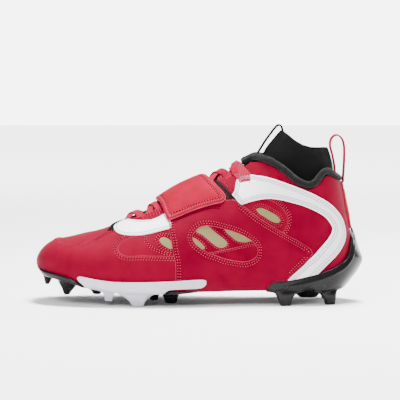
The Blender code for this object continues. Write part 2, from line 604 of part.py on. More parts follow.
def sock_levels(side):
    """Rings of the sock on one side: rows along the roll, levels upwards."""
    run, v = roll_centre(side)
    n = len(run)
    levels = []
    for drop, off in zip(SOCK_DROP, SOCK_OFF):
        r = run.copy()
        z = roll_rows[:, 1] - drop
        front = np.array([1.0, 0.95, 0.72, 0.34, 0.12] + [0.0] * (n - 5))
        r = r - drop * front * (1.0 if drop > 0 else 1.6)
        z = z + drop * front * 0.55
        vv = v_at_z(r, np.where(z > 0, z, 999.0), side)
        vv[0] = 1.0
        # keep the ring's second point beside the ridge
        vv[1] = min(vv[1], v_at_gap(r[1:2], np.array([5.0]), side)[0])
        vv[2] = min(vv[2], v_at_gap(r[2:3], np.array([10.0 if drop > 0 else 8.0]), side)[0])
        levels.append((r, vv, off - (3.5 * front if drop < 0 else 0.0)))
    rings = []
    for r, vv, off in levels:
        rings.append((skin(r, vv, side, off), skin(r, vv, side, off - KNIT)))
    # from the last ring to the sock's own top opening
    top = np.array(SOCK_TOP, float)
    along = np.concatenate([[0], np.cumsum(np.linalg.norm(np.diff(top, axis=0), axis=1))])
    ring = rings[-1][0]
    share = np.concatenate([[0], np.cumsum(np.linalg.norm(np.diff(ring, axis=0), axis=1))])
    share = share / share[-1] * along[-1]
    rim = np.stack([np.interp(share, along, top[:, k]) for k in range(3)], axis=1)
    rim[:, 1] *= side
    centre = np.array([96.0, 0.0])
    for t in (0.34, 0.68, 1.0):
        outer = ring * (1 - t) + rim * t
        swell = 1.2 * math.sin(math.pi * t)
        away = outer[:, :2] - centre
        away = away / np.linalg.norm(away, axis=1, keepdims=True)
        outer = outer.copy()
        outer[:, :2] += away * swell
        inner = outer.copy()
        inner[:, :2] -= away * KNIT
        rings.append((outer, inner))
    outer = np.stack([o for o, _ in rings], axis=1)
    inner = np.stack([i for _, i in rings], axis=1)
    # both halves share their first and last rows
    for k in (0, -1):
        if k == -1:
            outer[k, :, 1] = 0.0
            inner[k, :, 1] = 0.0
    return outer, inner


TONGUE_OFF = -3.8
TONGUE_X = np.array([28, 19, 8, -5, -19, -36, -53, -69, -86], float)
TONGUE_HALF = of_table(("run", "half"), ((-86, 12.0), (-68, 15.5), (-34, 19.0), (0, 21.5), (36, 24.0)))["half"]


def tongue_patch(side, first):
    """The tongue's half, from the sock's lowest ring (its first points) to its tip."""
    cols = first.shape[0]
    rows_out, rows_in = [first], [None]
    shares = np.linspace(0, 1, cols)
    for x in TONGUE_X[1:]:
        gap = TONGUE_HALF(x) * shares
        xs = np.full(cols, x) + 4.0 * shares ** 2 * (1 if x < 20 else 0.4)
        v = v_at_gap(xs, gap, side)
        rows_out.append((xs, v))
        rows_in.append(None)
    outs, ins = [], []
    for k, row in enumerate(rows_out):
        if k == 0:
            outs.append(first)
            ins.append(first)
            continue
        xs, v = row
        rise = 2.6 * (1 - shares ** 2) ** 2 * np.clip((xs - TONGUE_X[-1] - 8.0) / 10.0, 0, 1)
        outs.append(skin(xs, v, side, TONGUE_OFF + rise))
        ins.append(skin(xs, v, side, TONGUE_OFF + rise - KNIT))
    return np.stack(outs), np.stack(ins)


def bootie():
    patches = []
    for side in (-1, 1):
        outer, inner = sock_levels(side)
        patches.append((outer, inner))
        t_out, t_in = tongue_patch(side, outer[:5, 0])
        t_in[0] = inner[:5, 0]
        patches.append((t_out, t_in))
    return shell("bootie", patches, "black_knit", near=0.05)


bootie()


# ---------------------------------------------------------------- outsole plates and studs
def plate_bottom(x):
    """Height of the plates' underside at a station."""
    return section(np.asarray(x, float), np.full(np.shape(x), -0.5), -1)[1] - SEAT - PLATE


def stud(name, levels, side, root):
    """A stud lofted through its levels, with its edges taken off. The top follows the plate."""
    rings = []
    for z, front, rear, inner, outer in levels:
        cx, cy = 0.18 * (rear - front), 0.18 * (outer - inner)
        corners = [(front, inner + cy), (front + cx, inner), (rear - cx, inner), (rear, inner + cy),
                   (rear, outer - cy), (rear - cx, outer), (front + cx, outer), (front, outer - cy)]
        s = side if side else 1
        ring = []
        for x, y in corners:
            height = float(plate_bottom(x)) + root if z > 90 else z
            cy0 = float(LAST_AT["centre"](min(x, FAN_X))) if x < FAN_X else 0.0
            ring.append((x, cy0 + s * y, height))
        rings.append(ring if s > 0 else ring[::-1])
    return loft(name, rings, "dark_plate", CUTTERS)


def studs_of(plate, root=1.5, sides=(-1, 0, 1)):
    made = []
    for name, (where, both, levels) in STUDS.items():
        if where != plate:
            continue
        for side in both:
            if side in sides:
                made.append(stud("stud_%s_%s" % (name, {-1: "lat", 0: "mid", 1: "med"}[side]),
                                 levels, side, root))
    return made


guard_edge = of_table(GUARD_COLUMNS, GUARD)["edge"]
FOREFOOT_RUN = np.array([-150.1, -149.4, -147, -143, -138, -131, -122, -112, -107, -103.5, -99, -95,
                         -86, -72, -58, -46, -40, -37, -34, -31, -27, -8, 1], float)


def forefoot_patch(side):
    edge = guard_edge(FOREFOOT_RUN)
    flat = np.minimum(edge, 0.0)
    v = np.concatenate([spread(np.full(edge.shape, -1.0), flat, (0.0, 0.5)),
                        spread(flat, edge, (0.0, 0.5, 1.0))], axis=1)
    v = np.maximum.accumulate(v + np.arange(v.shape[1]) * 1e-5, axis=1)
    run = np.repeat(FOREFOOT_RUN[:, None], v.shape[1], axis=1)
    thick = PLATE * np.clip((run + 151.0) / 9.0, 0.12, 1) * np.clip((8.0 - run) / 25.0, 0.28, 1)
    return skin(run, v, side, SEAT + thick), skin(run, v, side, SEAT)


forefoot = shell("forefoot_plate", [forefoot_patch(side) for side in (-1, 1)], "dark_plate", near=0.01)
join(forefoot, studs_of("toe"))

side_plate = table_curves(SIDE_PLATE_COLUMNS, SIDE_PLATE, "run", monotone_spline)
SIDE_RUN = np.array([r[0] for r in SIDE_PLATE], float)


def side_patch(side):
    low, high = side_plate["low"](SIDE_RUN), side_plate["high"](SIDE_RUN)
    turn = np.maximum(low, 0.0)
    v = np.concatenate([spread(low, turn, (0.0, 0.5)), spread(turn, high, (0.0, 0.3, 0.6, 1.0))], axis=1)
    v = np.maximum.accumulate(v + np.arange(v.shape[1]) * 1e-5, axis=1)
    run = np.repeat(SIDE_RUN[:, None], v.shape[1], axis=1)
    return skin(run, v, side, SEAT + PLATE), skin(run, v, side, SEAT)


for side, word in ((-1, "lateral"), (1, "medial")):
    plate = shell("side_plate_" + word, [side_patch(side)], "pale_plate", near=0.01)
    join(plate, studs_of("side", sides=(side,)))

cup_z = of_table(CUP_COLUMNS, CUP)["z"]
spur_off = of_table(SPUR_COLUMNS, SPUR, "z")["off"]
HEEL_RUN = np.array([60.5, 63, 69, 76, 83, 91, 99, 106, 113.5, 121, 128, 135.2, 140.9, 145.1, 150,
                     154.5, 159], float)


def heel_patch(side):
    top = v_at_z(HEEL_RUN, cup_z(HEEL_RUN), side)
    top[0] = 0.0
    zero = np.zeros(top.shape)
    v = np.concatenate([spread(zero - 1.0, zero, (0.0, 0.5)),
                        spread(zero, top, (0.0, 0.2, 0.42, 0.62, 0.79, 1.0))], axis=1)
    v = np.maximum.accumulate(v + np.arange(v.shape[1]) * 1e-5, axis=1)
    run = np.repeat(HEEL_RUN[:, None], v.shape[1], axis=1)
    z = form(run, v, side)[..., 2]
    back = np.clip((run - 128.0) / 31.0, 0, 1)
    off = SEAT + PLATE * np.clip(0.6 + (cup_z(run) - z) / 14.0, 0.6, 1.0) \
        + spur_off(z) * back ** 1.6
    seat = SEAT + 0.6 * np.clip((67.0 - run) / 6.5, 0, 1)
    return skin(run, v, side, off), skin(run, v, side, seat)


heel = shell("heel_plate", [heel_patch(side) for side in (-1, 1)], "dark_plate", near=0.01)
join(heel, studs_of("heel"))


# ---------------------------------------------------------------- quarter panels
def on_side(x, z, side):
    """The run and side coordinate of a point seen from the side."""
    x, z = np.asarray(x, float), np.asarray(z, float)
    run = x.copy()
    v = np.zeros(x.shape)
    for k in np.ndindex(x.shape):
        if x[k] > FAN_X:
            w = v_at_z(np.array([FAN_X]), np.array([z[k]]), side)[0]
            rr = np.linspace(FAN_X, FAN_X + FAN_LENGTH, 120)
            run[k] = np.interp(x[k], form(rr, np.full(rr.shape, w), side)[:, 0], rr)
            v[k] = w
        else:
            v[k] = v_at_z(np.array([x[k]]), np.array([z[k]]), side)[0]
    return run, v


def resample(points, count, start):
    """Evenly spaced points around a closed outline, beginning at the point nearest to start."""
    p = np.array(points, float)
    k = int(np.argmin(np.linalg.norm(p - np.array(start), axis=1)))
    p = np.concatenate([p[k:], p[:k], p[k:k + 1]])
    s = np.concatenate([[0], np.cumsum(np.linalg.norm(np.diff(p, axis=0), axis=1))])
    q = np.linspace(0, s[-1], count, endpoint=False)
    return np.stack([np.interp(q, s, p[:, j]) for j in range(2)], axis=1)


def by_angle(points, centre, count):
    """Points around an outline at even angles about a centre."""
    p = np.array(points, float)
    p = np.concatenate([p, p[:1]])
    fine = np.concatenate([a + (b - a) * np.linspace(0, 1, 40)[:, None] for a, b in zip(p[:-1], p[1:])])
    ang = np.arctan2(fine[:, 1] - centre[1], fine[:, 0] - centre[0])
    order = np.argsort(ang)
    ang, fine = ang[order], fine[order]
    q = np.linspace(-math.pi, math.pi, count, endpoint=False)
    wide = np.concatenate([ang - 2 * math.pi, ang, ang + 2 * math.pi])
    fx = np.tile(fine[:, 0], 3)
    fz = np.tile(fine[:, 1], 3)
    return np.stack([np.interp(q, wide, fx), np.interp(q, wide, fz)], axis=1)


def quarter(side, word):
    """The smooth quarter panel, lofted from its window out to its edge."""
    centre = (26.0, 56.0)
    count = 36
    edge, hole = by_angle(QUARTER, centre, count), by_angle(WINDOW, centre, count)
    edge, hole = np.concatenate([edge, edge[:1]]), np.concatenate([hole, hole[:1]])
    rows = np.stack([hole * (1 - t) + edge * t for t in (0.0, 0.5, 1.0)])
    run, v = on_side(rows[..., 0], rows[..., 1], side)
    return shell("quarter_" + word, [(skin(run, v, side, SEAT + 0.1 + PANEL), skin(run, v, side, SEAT + 0.1))],
                 "red_leather")


quarter(-1, "lateral")
quarter(1, "medial")


# ---------------------------------------------------------------- strap
def strap_patch(rows, side):
    outs, ins = [], []
    for girth, front, rear, off in rows:
        x = np.linspace(front, rear, 7)
        v = v_at_girth(x, np.full(x.shape, girth), side)
        outs.append(skin(x, v, side, off + STRAP_THICK))
        ins.append(skin(x, v, side, off))
    return np.stack(outs), np.stack(ins)


shell("strap", [strap_patch(STRAP_LATERAL, -1), strap_patch(STRAP_MEDIAL, 1)], "red", near=0.05)


# ---------------------------------------------------------------- laces
def lace_leg(name, row, home=None):
    """A flat lace over the tongue from one side's eyelets to the other's."""
    x0, g0, x1, g1, lift = row
    shares = np.linspace(0, 1, 9)
    outs, ins = [], []
    for t in shares:
        x = x0 + (x1 - x0) * t
        across = -g0 + (g0 + g1) * t
        side = -1 if across < 0 else 1
        line = []
        for w in (-0.5, 0.5):
            xs = x + w * LACE_WIDE
            v = v_at_gap(np.array([xs]), np.array([abs(across)]), side)
            line.append((xs, v[0], side))
        base = 0.75 + lift
        outs.append([skin(np.array(a), np.array(b), s, base + LACE_THICK) for a, b, s in line])
        ins.append([skin(np.array(a), np.array(b), s, base) for a, b, s in line])
    return shell(name, [(np.array(outs), np.array(ins))], "lace", home)


for name, legs in LACES.items():
    first = lace_leg(name, legs[0])
    join(first, [lace_leg(name + "_over", leg, CUTTERS) for leg in legs[1:]])


# ---------------------------------------------------------------- pull loops and heel tab
def ribbon(name, path, half, finish_name, centre_y=0.0):
    """Webbing of one thickness along a path in the middle plane."""
    p = np.array(path, float)
    t = np.gradient(p, axis=0)
    t /= np.linalg.norm(t, axis=1, keepdims=True)
    n = np.stack([-t[:, 1], t[:, 0]], axis=1)
    rings = []
    for a, b in zip(p, n):
        hi, lo = a + b * TAPE / 2, a - b * TAPE / 2
        rings.append([(hi[0], centre_y - half, hi[1]), (hi[0], centre_y + half, hi[1]),
                      (lo[0], centre_y + half, lo[1]), (lo[0], centre_y - half, lo[1])])
    return loft(name, rings, finish_name)


ribbon("pull_loop_front", PULL_FRONT, 6.0, "webbing_black", 0.6)
ribbon("pull_loop_heel", PULL_HEEL, 6.5, "webbing_red")


def heel_tab_patch(side):
    z = np.array([70.5, 76, 82, 88, 94, 100, 105.5, 110.4], float)
    runs = np.array([150.5, 153.5, 156.5, 159.0])
    rows_out, rows_in = [], []
    for height in z:
        v = v_at_z(runs, np.full(runs.shape, height), side)
        rows_out.append(skin(runs, v, side, GAP + TAPE))
        rows_in.append(skin(runs, v, side, GAP))
    return np.stack(rows_out), np.stack(rows_in)


shell("heel_tab", [heel_tab_patch(side) for side in (-1, 1)], "webbing_red", near=0.05)

CUTTERS.hide_render = True
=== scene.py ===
"""Looks of the football cleat: every visible surface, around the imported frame."""

import json
import math

import bmesh
import bpy
import numpy as np
from mathutils import Vector
from mathutils.geometry import delaunay_2d_cdt
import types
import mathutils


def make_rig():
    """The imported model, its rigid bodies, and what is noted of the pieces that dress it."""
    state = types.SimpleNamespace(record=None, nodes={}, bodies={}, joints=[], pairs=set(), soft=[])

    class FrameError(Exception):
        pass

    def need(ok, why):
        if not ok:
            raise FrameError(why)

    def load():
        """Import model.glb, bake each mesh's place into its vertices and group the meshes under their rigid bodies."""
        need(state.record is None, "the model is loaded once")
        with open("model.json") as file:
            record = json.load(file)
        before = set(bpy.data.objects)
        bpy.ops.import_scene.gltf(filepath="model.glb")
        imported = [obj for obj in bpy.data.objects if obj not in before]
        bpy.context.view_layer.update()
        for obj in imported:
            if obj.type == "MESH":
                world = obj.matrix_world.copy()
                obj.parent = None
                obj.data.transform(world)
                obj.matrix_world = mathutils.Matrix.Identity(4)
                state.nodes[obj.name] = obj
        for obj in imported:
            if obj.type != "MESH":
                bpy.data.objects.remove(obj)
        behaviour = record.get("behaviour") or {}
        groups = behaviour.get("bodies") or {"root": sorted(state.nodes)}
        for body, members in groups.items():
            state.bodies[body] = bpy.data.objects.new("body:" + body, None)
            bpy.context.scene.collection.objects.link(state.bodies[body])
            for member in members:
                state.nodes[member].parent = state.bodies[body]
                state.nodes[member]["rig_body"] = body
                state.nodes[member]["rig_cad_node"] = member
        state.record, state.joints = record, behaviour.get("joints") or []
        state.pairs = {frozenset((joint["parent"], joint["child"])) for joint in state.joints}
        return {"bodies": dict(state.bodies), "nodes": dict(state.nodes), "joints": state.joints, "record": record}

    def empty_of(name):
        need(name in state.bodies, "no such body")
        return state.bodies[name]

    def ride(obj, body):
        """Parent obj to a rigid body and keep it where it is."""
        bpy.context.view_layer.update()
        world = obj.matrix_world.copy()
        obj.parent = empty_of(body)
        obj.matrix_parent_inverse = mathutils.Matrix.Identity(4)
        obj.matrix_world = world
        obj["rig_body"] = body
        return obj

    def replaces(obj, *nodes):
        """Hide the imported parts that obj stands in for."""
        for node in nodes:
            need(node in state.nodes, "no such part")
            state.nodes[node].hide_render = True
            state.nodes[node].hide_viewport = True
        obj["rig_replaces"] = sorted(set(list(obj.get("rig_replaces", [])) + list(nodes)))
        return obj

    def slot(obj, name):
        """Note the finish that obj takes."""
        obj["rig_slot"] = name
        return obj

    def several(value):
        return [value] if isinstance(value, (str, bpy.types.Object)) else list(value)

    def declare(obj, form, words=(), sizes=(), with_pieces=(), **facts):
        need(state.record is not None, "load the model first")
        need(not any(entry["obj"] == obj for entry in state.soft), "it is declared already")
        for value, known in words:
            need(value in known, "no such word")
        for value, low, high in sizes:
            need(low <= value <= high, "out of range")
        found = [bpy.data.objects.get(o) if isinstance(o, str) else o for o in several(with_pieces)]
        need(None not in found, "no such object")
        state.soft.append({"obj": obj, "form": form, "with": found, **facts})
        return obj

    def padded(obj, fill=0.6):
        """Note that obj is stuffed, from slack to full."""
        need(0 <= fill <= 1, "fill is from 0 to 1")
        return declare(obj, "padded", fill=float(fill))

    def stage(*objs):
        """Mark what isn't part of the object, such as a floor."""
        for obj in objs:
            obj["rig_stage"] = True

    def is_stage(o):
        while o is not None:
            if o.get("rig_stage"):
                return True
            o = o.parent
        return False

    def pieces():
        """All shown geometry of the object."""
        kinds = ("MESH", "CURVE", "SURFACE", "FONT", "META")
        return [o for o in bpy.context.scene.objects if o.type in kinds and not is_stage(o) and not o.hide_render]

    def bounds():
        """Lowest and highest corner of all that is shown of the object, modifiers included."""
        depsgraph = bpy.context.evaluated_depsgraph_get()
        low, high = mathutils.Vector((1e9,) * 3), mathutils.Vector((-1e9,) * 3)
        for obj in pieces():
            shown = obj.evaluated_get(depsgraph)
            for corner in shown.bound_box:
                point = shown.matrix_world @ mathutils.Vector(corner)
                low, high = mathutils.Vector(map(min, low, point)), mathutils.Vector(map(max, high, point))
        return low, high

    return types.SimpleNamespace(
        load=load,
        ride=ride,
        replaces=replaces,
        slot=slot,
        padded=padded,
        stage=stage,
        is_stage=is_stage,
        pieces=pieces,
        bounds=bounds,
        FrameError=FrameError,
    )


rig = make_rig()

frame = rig.load()
CAD_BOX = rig.bounds()
RNG = np.random.default_rng(7)


# ---------------------------------------------------------------- the last
# All tables are in millimetres: x runs from toe (negative) to heel, y from the
# outer (lateral, negative) to the inner (medial) side, z up from the ground.
MM = 0.001
TIP_X = -151.0        # foremost point of the upper
TIP_Z = 37.7          # its height
FAN_X = 99.0          # behind this station the heel is built on plan curves
FAN_LENGTH = 60.0     # length of the heel's quarter curve, for the run coordinate
LOW = 0.25            # share of the side coordinate that is below the bulge

LAST_COLUMNS = ("x", "centre", "bulge_lat", "bulge_med", "tuck_lat", "tuck_med",
                "bulge_at", "bottom", "ridge", "ridge_shift", "rise", "crown")
LAST = (
    (-151.0, 6.5, 39.5, 38.5, 3.0, 3.0, 0.36, 29.0, 56.0, 0.0, 0.66, 0.66),
    (-141.0, 6.0, 40.0, 38.6, 3.2, 3.2, 0.35, 28.2, 57.0, 0.5, 0.66, 0.66),
    (-131.0, 5.0, 41.0, 39.3, 3.5, 3.5, 0.34, 26.6, 58.3, 1.0, 0.65, 0.66),
    (-121.0, 4.0, 42.5, 40.0, 4.0, 4.0, 0.33, 24.3, 60.1, 2.0, 0.64, 0.65),
    (-106.0, 2.5, 45.5, 42.5, 4.5, 4.5, 0.31, 20.6, 63.8, 3.0, 0.62, 0.62),
    (-86.0, 1.0, 48.5, 46.5, 5.0, 5.0, 0.29, 17.2, 69.0, 4.0, 0.58, 0.60),
    (-66.0, 0.0, 50.5, 49.0, 5.0, 5.0, 0.27, 15.6, 78.0, 5.0, 0.53, 0.58),
    (-46.0, 0.0, 51.5, 48.0, 5.0, 6.0, 0.25, 15.0, 86.5, 5.5, 0.49, 0.56),
    (-26.0, 0.0, 50.0, 45.0, 5.5, 8.0, 0.24, 14.8, 98.0, 5.5, 0.46, 0.54),
    (-1.0, 0.0, 46.0, 40.5, 6.5, 10.0, 0.24, 14.8, 110.5, 5.0, 0.44, 0.54),
    (24.0, 0.0, 42.0, 37.5, 7.0, 9.5, 0.25, 15.0, 121.5, 4.0, 0.44, 0.56),
    (40.0, 0.0, 39.8, 36.6, 6.5, 8.0, 0.26, 15.0, 132.0, 2.5, 0.46, 0.58),
    (56.0, 0.0, 38.3, 36.1, 6.0, 6.5, 0.25, 15.0, 150.0, 1.2, 0.46, 0.60),
    (74.0, 0.0, 37.3, 36.0, 5.5, 5.5, 0.20, 15.1, 195.0, 0.4, 0.46, 0.62),
    (99.0, 0.0, 36.5, 36.5, 5.0, 5.0, 0.15, 15.3, 250.0, 0.0, 0.44, 0.62),
    (120.0, 0.0, 36.0, 36.5, 5.0, 5.0, 0.13, 15.4, 262.0, 0.0, 0.44, 0.62),
)
# The back of the heel, seen from the side.
BACK_COLUMNS = ("z", "x")
BACK = ((15.0, 133.5), (22.0, 136.5), (35.0, 139.3), (50.0, 140.4), (62.0, 139.8), (76.0, 137.6),
        (94.0, 133.8), (112.0, 130.4), (130.0, 127.5), (160.0, 123.0), (262.0, 110.0))


def natural_spline(xs, ys):
    """A smooth curve through the rows of a table, with continuous curvature."""
    xs, ys = np.asarray(xs, float), np.asarray(ys, float)
    n, h = len(xs), np.diff(xs)
    lhs, rhs = np.eye(n), np.zeros(n)
    for i in range(1, n - 1):
        lhs[i, i - 1:i + 2] = h[i - 1], 2 * (h[i - 1] + h[i]), h[i]
        rhs[i] = 6 * ((ys[i + 1] - ys[i]) / h[i] - (ys[i] - ys[i - 1]) / h[i - 1])
    m = np.linalg.solve(lhs, rhs)

    def at(q):
        q = np.asarray(q, float)
        i = np.clip(np.searchsorted(xs, q) - 1, 0, n - 2)
        a, b = xs[i + 1] - q, q - xs[i]
        return (m[i] * a ** 3 + m[i + 1] * b ** 3) / (6 * h[i]) \
            + (ys[i] / h[i] - m[i] * h[i] / 6) * a + (ys[i + 1] / h[i] - m[i + 1] * h[i] / 6) * b
    return at


def monotone_spline(xs, ys):
    """A smooth curve through the rows that never swings past them."""
    xs, ys = np.asarray(xs, float), np.asarray(ys, float)
    h = np.diff(xs)
    d = np.diff(ys) / h
    m = np.zeros(len(xs))
    m[0], m[-1] = d[0], d[-1]
    for i in range(1, len(xs) - 1):
        if d[i - 1] * d[i] > 0:
            w1, w2 = 2 * h[i] + h[i - 1], h[i] + 2 * h[i - 1]
            m[i] = (w1 + w2) / (w1 / d[i - 1] + w2 / d[i])

    def at(q):
        q = np.clip(np.asarray(q, float), xs[0], xs[-1])
        i = np.clip(np.searchsorted(xs, q) - 1, 0, len(xs) - 2)
        t = (q - xs[i]) / h[i]
        return ys[i] * (1 + 2 * t) * (1 - t) ** 2 + h[i] * m[i] * t * (1 - t) ** 2 \
            + ys[i + 1] * t * t * (3 - 2 * t) + h[i] * m[i + 1] * t * t * (t - 1)
    return at


def table_curves(columns, rows, key, make=natural_spline):
    """One curve for each column of a table, against its key column."""
    data = np.array(rows, float)
    k = data[:, columns.index(key)]
    return {name: make(k, data[:, columns.index(name)]) for name in columns if name != key}


LAST_AT = table_curves(LAST_COLUMNS, LAST, "x")
BACK_AT = table_curves(BACK_COLUMNS, BACK, "z", monotone_spline)["x"]


def rounding(d, reach, power):
    """0 at the toe's tip, 1 from reach onward, along a rounded end."""
    q = np.clip(1 - np.asarray(d, float) / reach, 0, 1)
    return (1 - q ** power) ** (1 / power)


def section(x, v, side):
    """(y, z) on the last's outline at station x. v is -1 at the middle of the underside, 0 at the
    feather edge, LOW at the bulge and 1 at the ridge. side is -1 for lateral, 1 for medial."""
    x, v = np.broadcast_arrays(np.asarray(x, float), np.asarray(v, float))
    c = {k: f(x) for k, f in LAST_AT.items()}
    d = np.clip(x - TIP_X, 0, None)
    wide, high, deep = rounding(d, 46, 2.3), rounding(d, 22, 1.8), rounding(d, 15, 2.0)
    bulge = np.where(side < 0, c["bulge_lat"], c["bulge_med"]) * wide
    tuck = np.where(side < 0, c["tuck_lat"], c["tuck_med"]) * wide
    zb = TIP_Z - (TIP_Z - c["bottom"]) * deep
    zt = TIP_Z + (c["ridge"] - TIP_Z) * high
    zk = zb + c["bulge_at"] * (zt - zb)
    ridge = side * c["ridge_shift"] * wide
    # below the bulge: a rounded corner, square enough to leave a flat underside
    turn = np.clip(v / LOW, 0, 1) * math.pi / 2
    low_w = bulge - tuck + tuck * np.sin(turn) ** (2 / 2.6)
    low_z = zk - (zk - zb) * np.cos(turn) ** (2 / 2.6)
    # above it: one arch to the ridge
    t = np.clip((v - LOW) / (1 - LOW), 0, 1)
    b0, b1, b2, b3 = (1 - t) ** 3, 3 * t * (1 - t) ** 2, 3 * t * t * (1 - t), t ** 3
    up_w = bulge * (b0 + b1) + (ridge + c["crown"] * (bulge - ridge)) * b2 + ridge * b3
    up_z = zk * b0 + (zk + c["rise"] * (zt - zk)) * b1 + zt * (b2 + b3)
    w = np.where(v < LOW, low_w, up_w)
    z = np.where(v < LOW, low_z, up_z)
    under = np.clip(1 + v, 0, 1)
    w = np.where(v < 0, (bulge - tuck) * under, w)
    return c["centre"] + side * w, np.where(v < 0, zb, z)


def form(run, v, side):
    """A point of the last. run is x up to FAN_X, and then the length along the heel's curve."""
    run, v = np.broadcast_arrays(np.asarray(run, float), np.asarray(v, float))
    x = np.minimum(run, FAN_X)
    y, z = section(x, v, side)
    s = np.clip((run - FAN_X) / FAN_LENGTH, 0, 1)
    y0, _ = section(np.full(run.shape, FAN_X - 1.0), v, side)
    slope = (section(np.full(run.shape, FAN_X), v, side)[0] - y0)
    low = np.sin(np.clip(v / LOW, 0, 1) * math.pi / 2) ** (2 / 2.6)
    reach = BACK_AT(z) - 5.0 * (1 - low) - FAN_X
    p1x, p1y = FAN_X + 0.60 * reach, y + slope * 0.60 * reach
    p2x, p2y = FAN_X + reach, 0.62 * y
    b0, b1, b2, b3 = (1 - s) ** 3, 3 * s * (1 - s) ** 2, 3 * s * s * (1 - s), s ** 3
    fx = FAN_X * b0 + p1x * b1 + p2x * b2 + p2x * b3
    fy = y * b0 + p1y * b1 + p2y * b2
    under = np.clip(1 + v, 0, 1)
    yf = section(np.full(run.shape, FAN_X), np.zeros(run.shape), side)[0]
    rf = BACK_AT(z) - 5.0 - FAN_X
    ux = FAN_X + under * (b1 * 0.60 + b2 + b3) * rf
    uy = under * (yf * b0 + yf * b1 + 0.62 * yf * b2)
    fan = run > FAN_X
    px = np.where(fan, np.where(v < 0, ux, fx), run)
    py = np.where(fan, np.where(v < 0, uy, fy), y)
    return np.stack([px, py, z], axis=-1)


def one_side_normal(run, v, side, step=0.35):
    lo = np.clip(run, TIP_X + 0.6, None)
    along = form(lo + step, v, side) - form(lo - step, v, side)
    dv = 0.004
    around = form(lo, np.minimum(v + dv, 1.0), side) - form(lo, v - dv, side)
    n = np.cross(along, around) * side * -1.0
    return n / np.maximum(np.linalg.norm(n, axis=-1, keepdims=True), 1e-9)


def normal(run, v, side):
    """The outward direction of the last at that point. Both sides agree along the ridge, the middle
    of the underside, the back of the heel and the toe's tip."""
    run, v = np.broadcast_arrays(np.asarray(run, float), np.asarray(v, float))
    n = one_side_normal(run, v, side)
    seam = ((v > 0.9995) | (v < -0.9995))[..., None]
    n = np.where(seam, n + one_side_normal(run, v, -side), n)
    n = n * np.where(run >= FAN_X + FAN_LENGTH - 1e-6, 0.0, 1.0)[..., None] ** np.array([0, 1, 0])
    tip = (run <= TIP_X + 1e-6)[..., None]
    n = np.where(tip, np.array([-1.0, 0.0, 0.0]), n)
    hub = ((v < -0.9995) & (run > FAN_X - 1e-6))[..., None]
    n = np.where(hub, np.array([0.0, 0.0, -1.0]), n)
    return n / np.maximum(np.linalg.norm(n, axis=-1, keepdims=True), 1e-9)


def skin(run, v, side, off=0.0):
    """A point at a height off above the last, or below it where off is negative."""
    return form(run, v, side) + normal(run, v, side) * np.asarray(off, float)[..., None]


def v_at_height(run, z, side):
    """The side coordinate above the bulge at which the last stands at height z."""
    vs = np.linspace(LOW, 1, 160)
    out = []
    for r, h in zip(np.atleast_1d(run), np.broadcast_to(z, np.shape(np.atleast_1d(run)))):
        zz = form(np.full(vs.shape, r), vs, side)[:, 2]
        out.append(np.interp(h, zz, vs))
    return np.array(out)


def v_at_low(run, z, side):
    """The same below the bulge."""
    vs = np.linspace(0, LOW, 80)
    out = []
    for r, h in zip(np.atleast_1d(run), np.broadcast_to(z, np.shape(np.atleast_1d(run)))):
        zz = form(np.full(vs.shape, r), vs, side)[:, 2]
        out.append(np.interp(h, zz, vs))
    return np.array(out)


def v_at_z(run, z, side):
    """The side coordinate at which the last stands at height z, from feather edge to ridge."""
    vs = np.concatenate([np.linspace(0, LOW, 80), np.linspace(LOW, 1, 160)[1:]])
    out = []
    for r, h in zip(np.atleast_1d(run), np.broadcast_to(z, np.shape(np.atleast_1d(run)))):
        zz = form(np.full(vs.shape, r), vs, side)[:, 2]
        out.append(np.interp(h, zz, vs))
    return np.array(out)


def v_at_gap(x, gap, side):
    """The side coordinate whose distance across from the ridge line is gap."""
    vs = np.linspace(LOW, 1, 300)
    out = []
    for r, g in zip(np.atleast_1d(x), np.broadcast_to(gap, np.shape(np.atleast_1d(x)))):
        yy = form(np.full(vs.shape, r), vs, side)[:, 1]
        away = np.abs(yy - yy[-1])
        out.append(np.interp(-g, -away, vs))
    return np.array(out)


def v_at_girth(run, girth, side):
    """The side coordinate at a length girth down from the ridge, along the surface."""
    vs = np.linspace(0, 1, 400)
    out = []
    for r, g in zip(np.atleast_1d(run), np.broadcast_to(girth, np.shape(np.atleast_1d(run)))):
        p = form(np.full(vs.shape, r), vs, side)[::-1]
        s = np.concatenate([[0], np.cumsum(np.linalg.norm(np.diff(p, axis=0), axis=1))])
        out.append(np.interp(g, s, vs[::-1]))
    return np.array(out)


# ---------------------------------------------------------------- the camera, level with the shoe
CAM_RISE = math.radians(4.0)
CAM_FAR = 1800.0                      # mm from the shoe's middle
CAM_AIM = np.array([0.14, 0.0, 94.3])
CAM_SPAN = 370.2                      # mm across the picture at the shoe
CAM_AT = CAM_AIM + CAM_FAR * np.array([0, -math.cos(CAM_RISE), math.sin(CAM_RISE)])
CAM_DIR = np.array([0, math.cos(CAM_RISE), -math.sin(CAM_RISE)])
CAM_UP = np.array([0, math.sin(CAM_RISE), math.cos(CAM_RISE)])


def project(p):
    """Where a point in mm lands in the 400 x 400 picture."""
    q = np.asarray(p, float) - CAM_AT
    scale = 400.0 * CAM_FAR / CAM_SPAN / (q @ CAM_DIR)
    return np.stack([200 + scale * q[..., 0], 200 - scale * (q @ CAM_UP)], axis=-1)


# ---------------------------------------------------------------- flat charts of the last
CHART_RUN = np.concatenate([TIP_X + 30 * np.linspace(0, 1, 120) ** 2.2, np.linspace(-120.5, 98.5, 439),
                            np.linspace(99, 159, 121)])
CHART_V = np.concatenate([np.linspace(0, LOW, 60), np.linspace(LOW, 1, 241)[1:]])


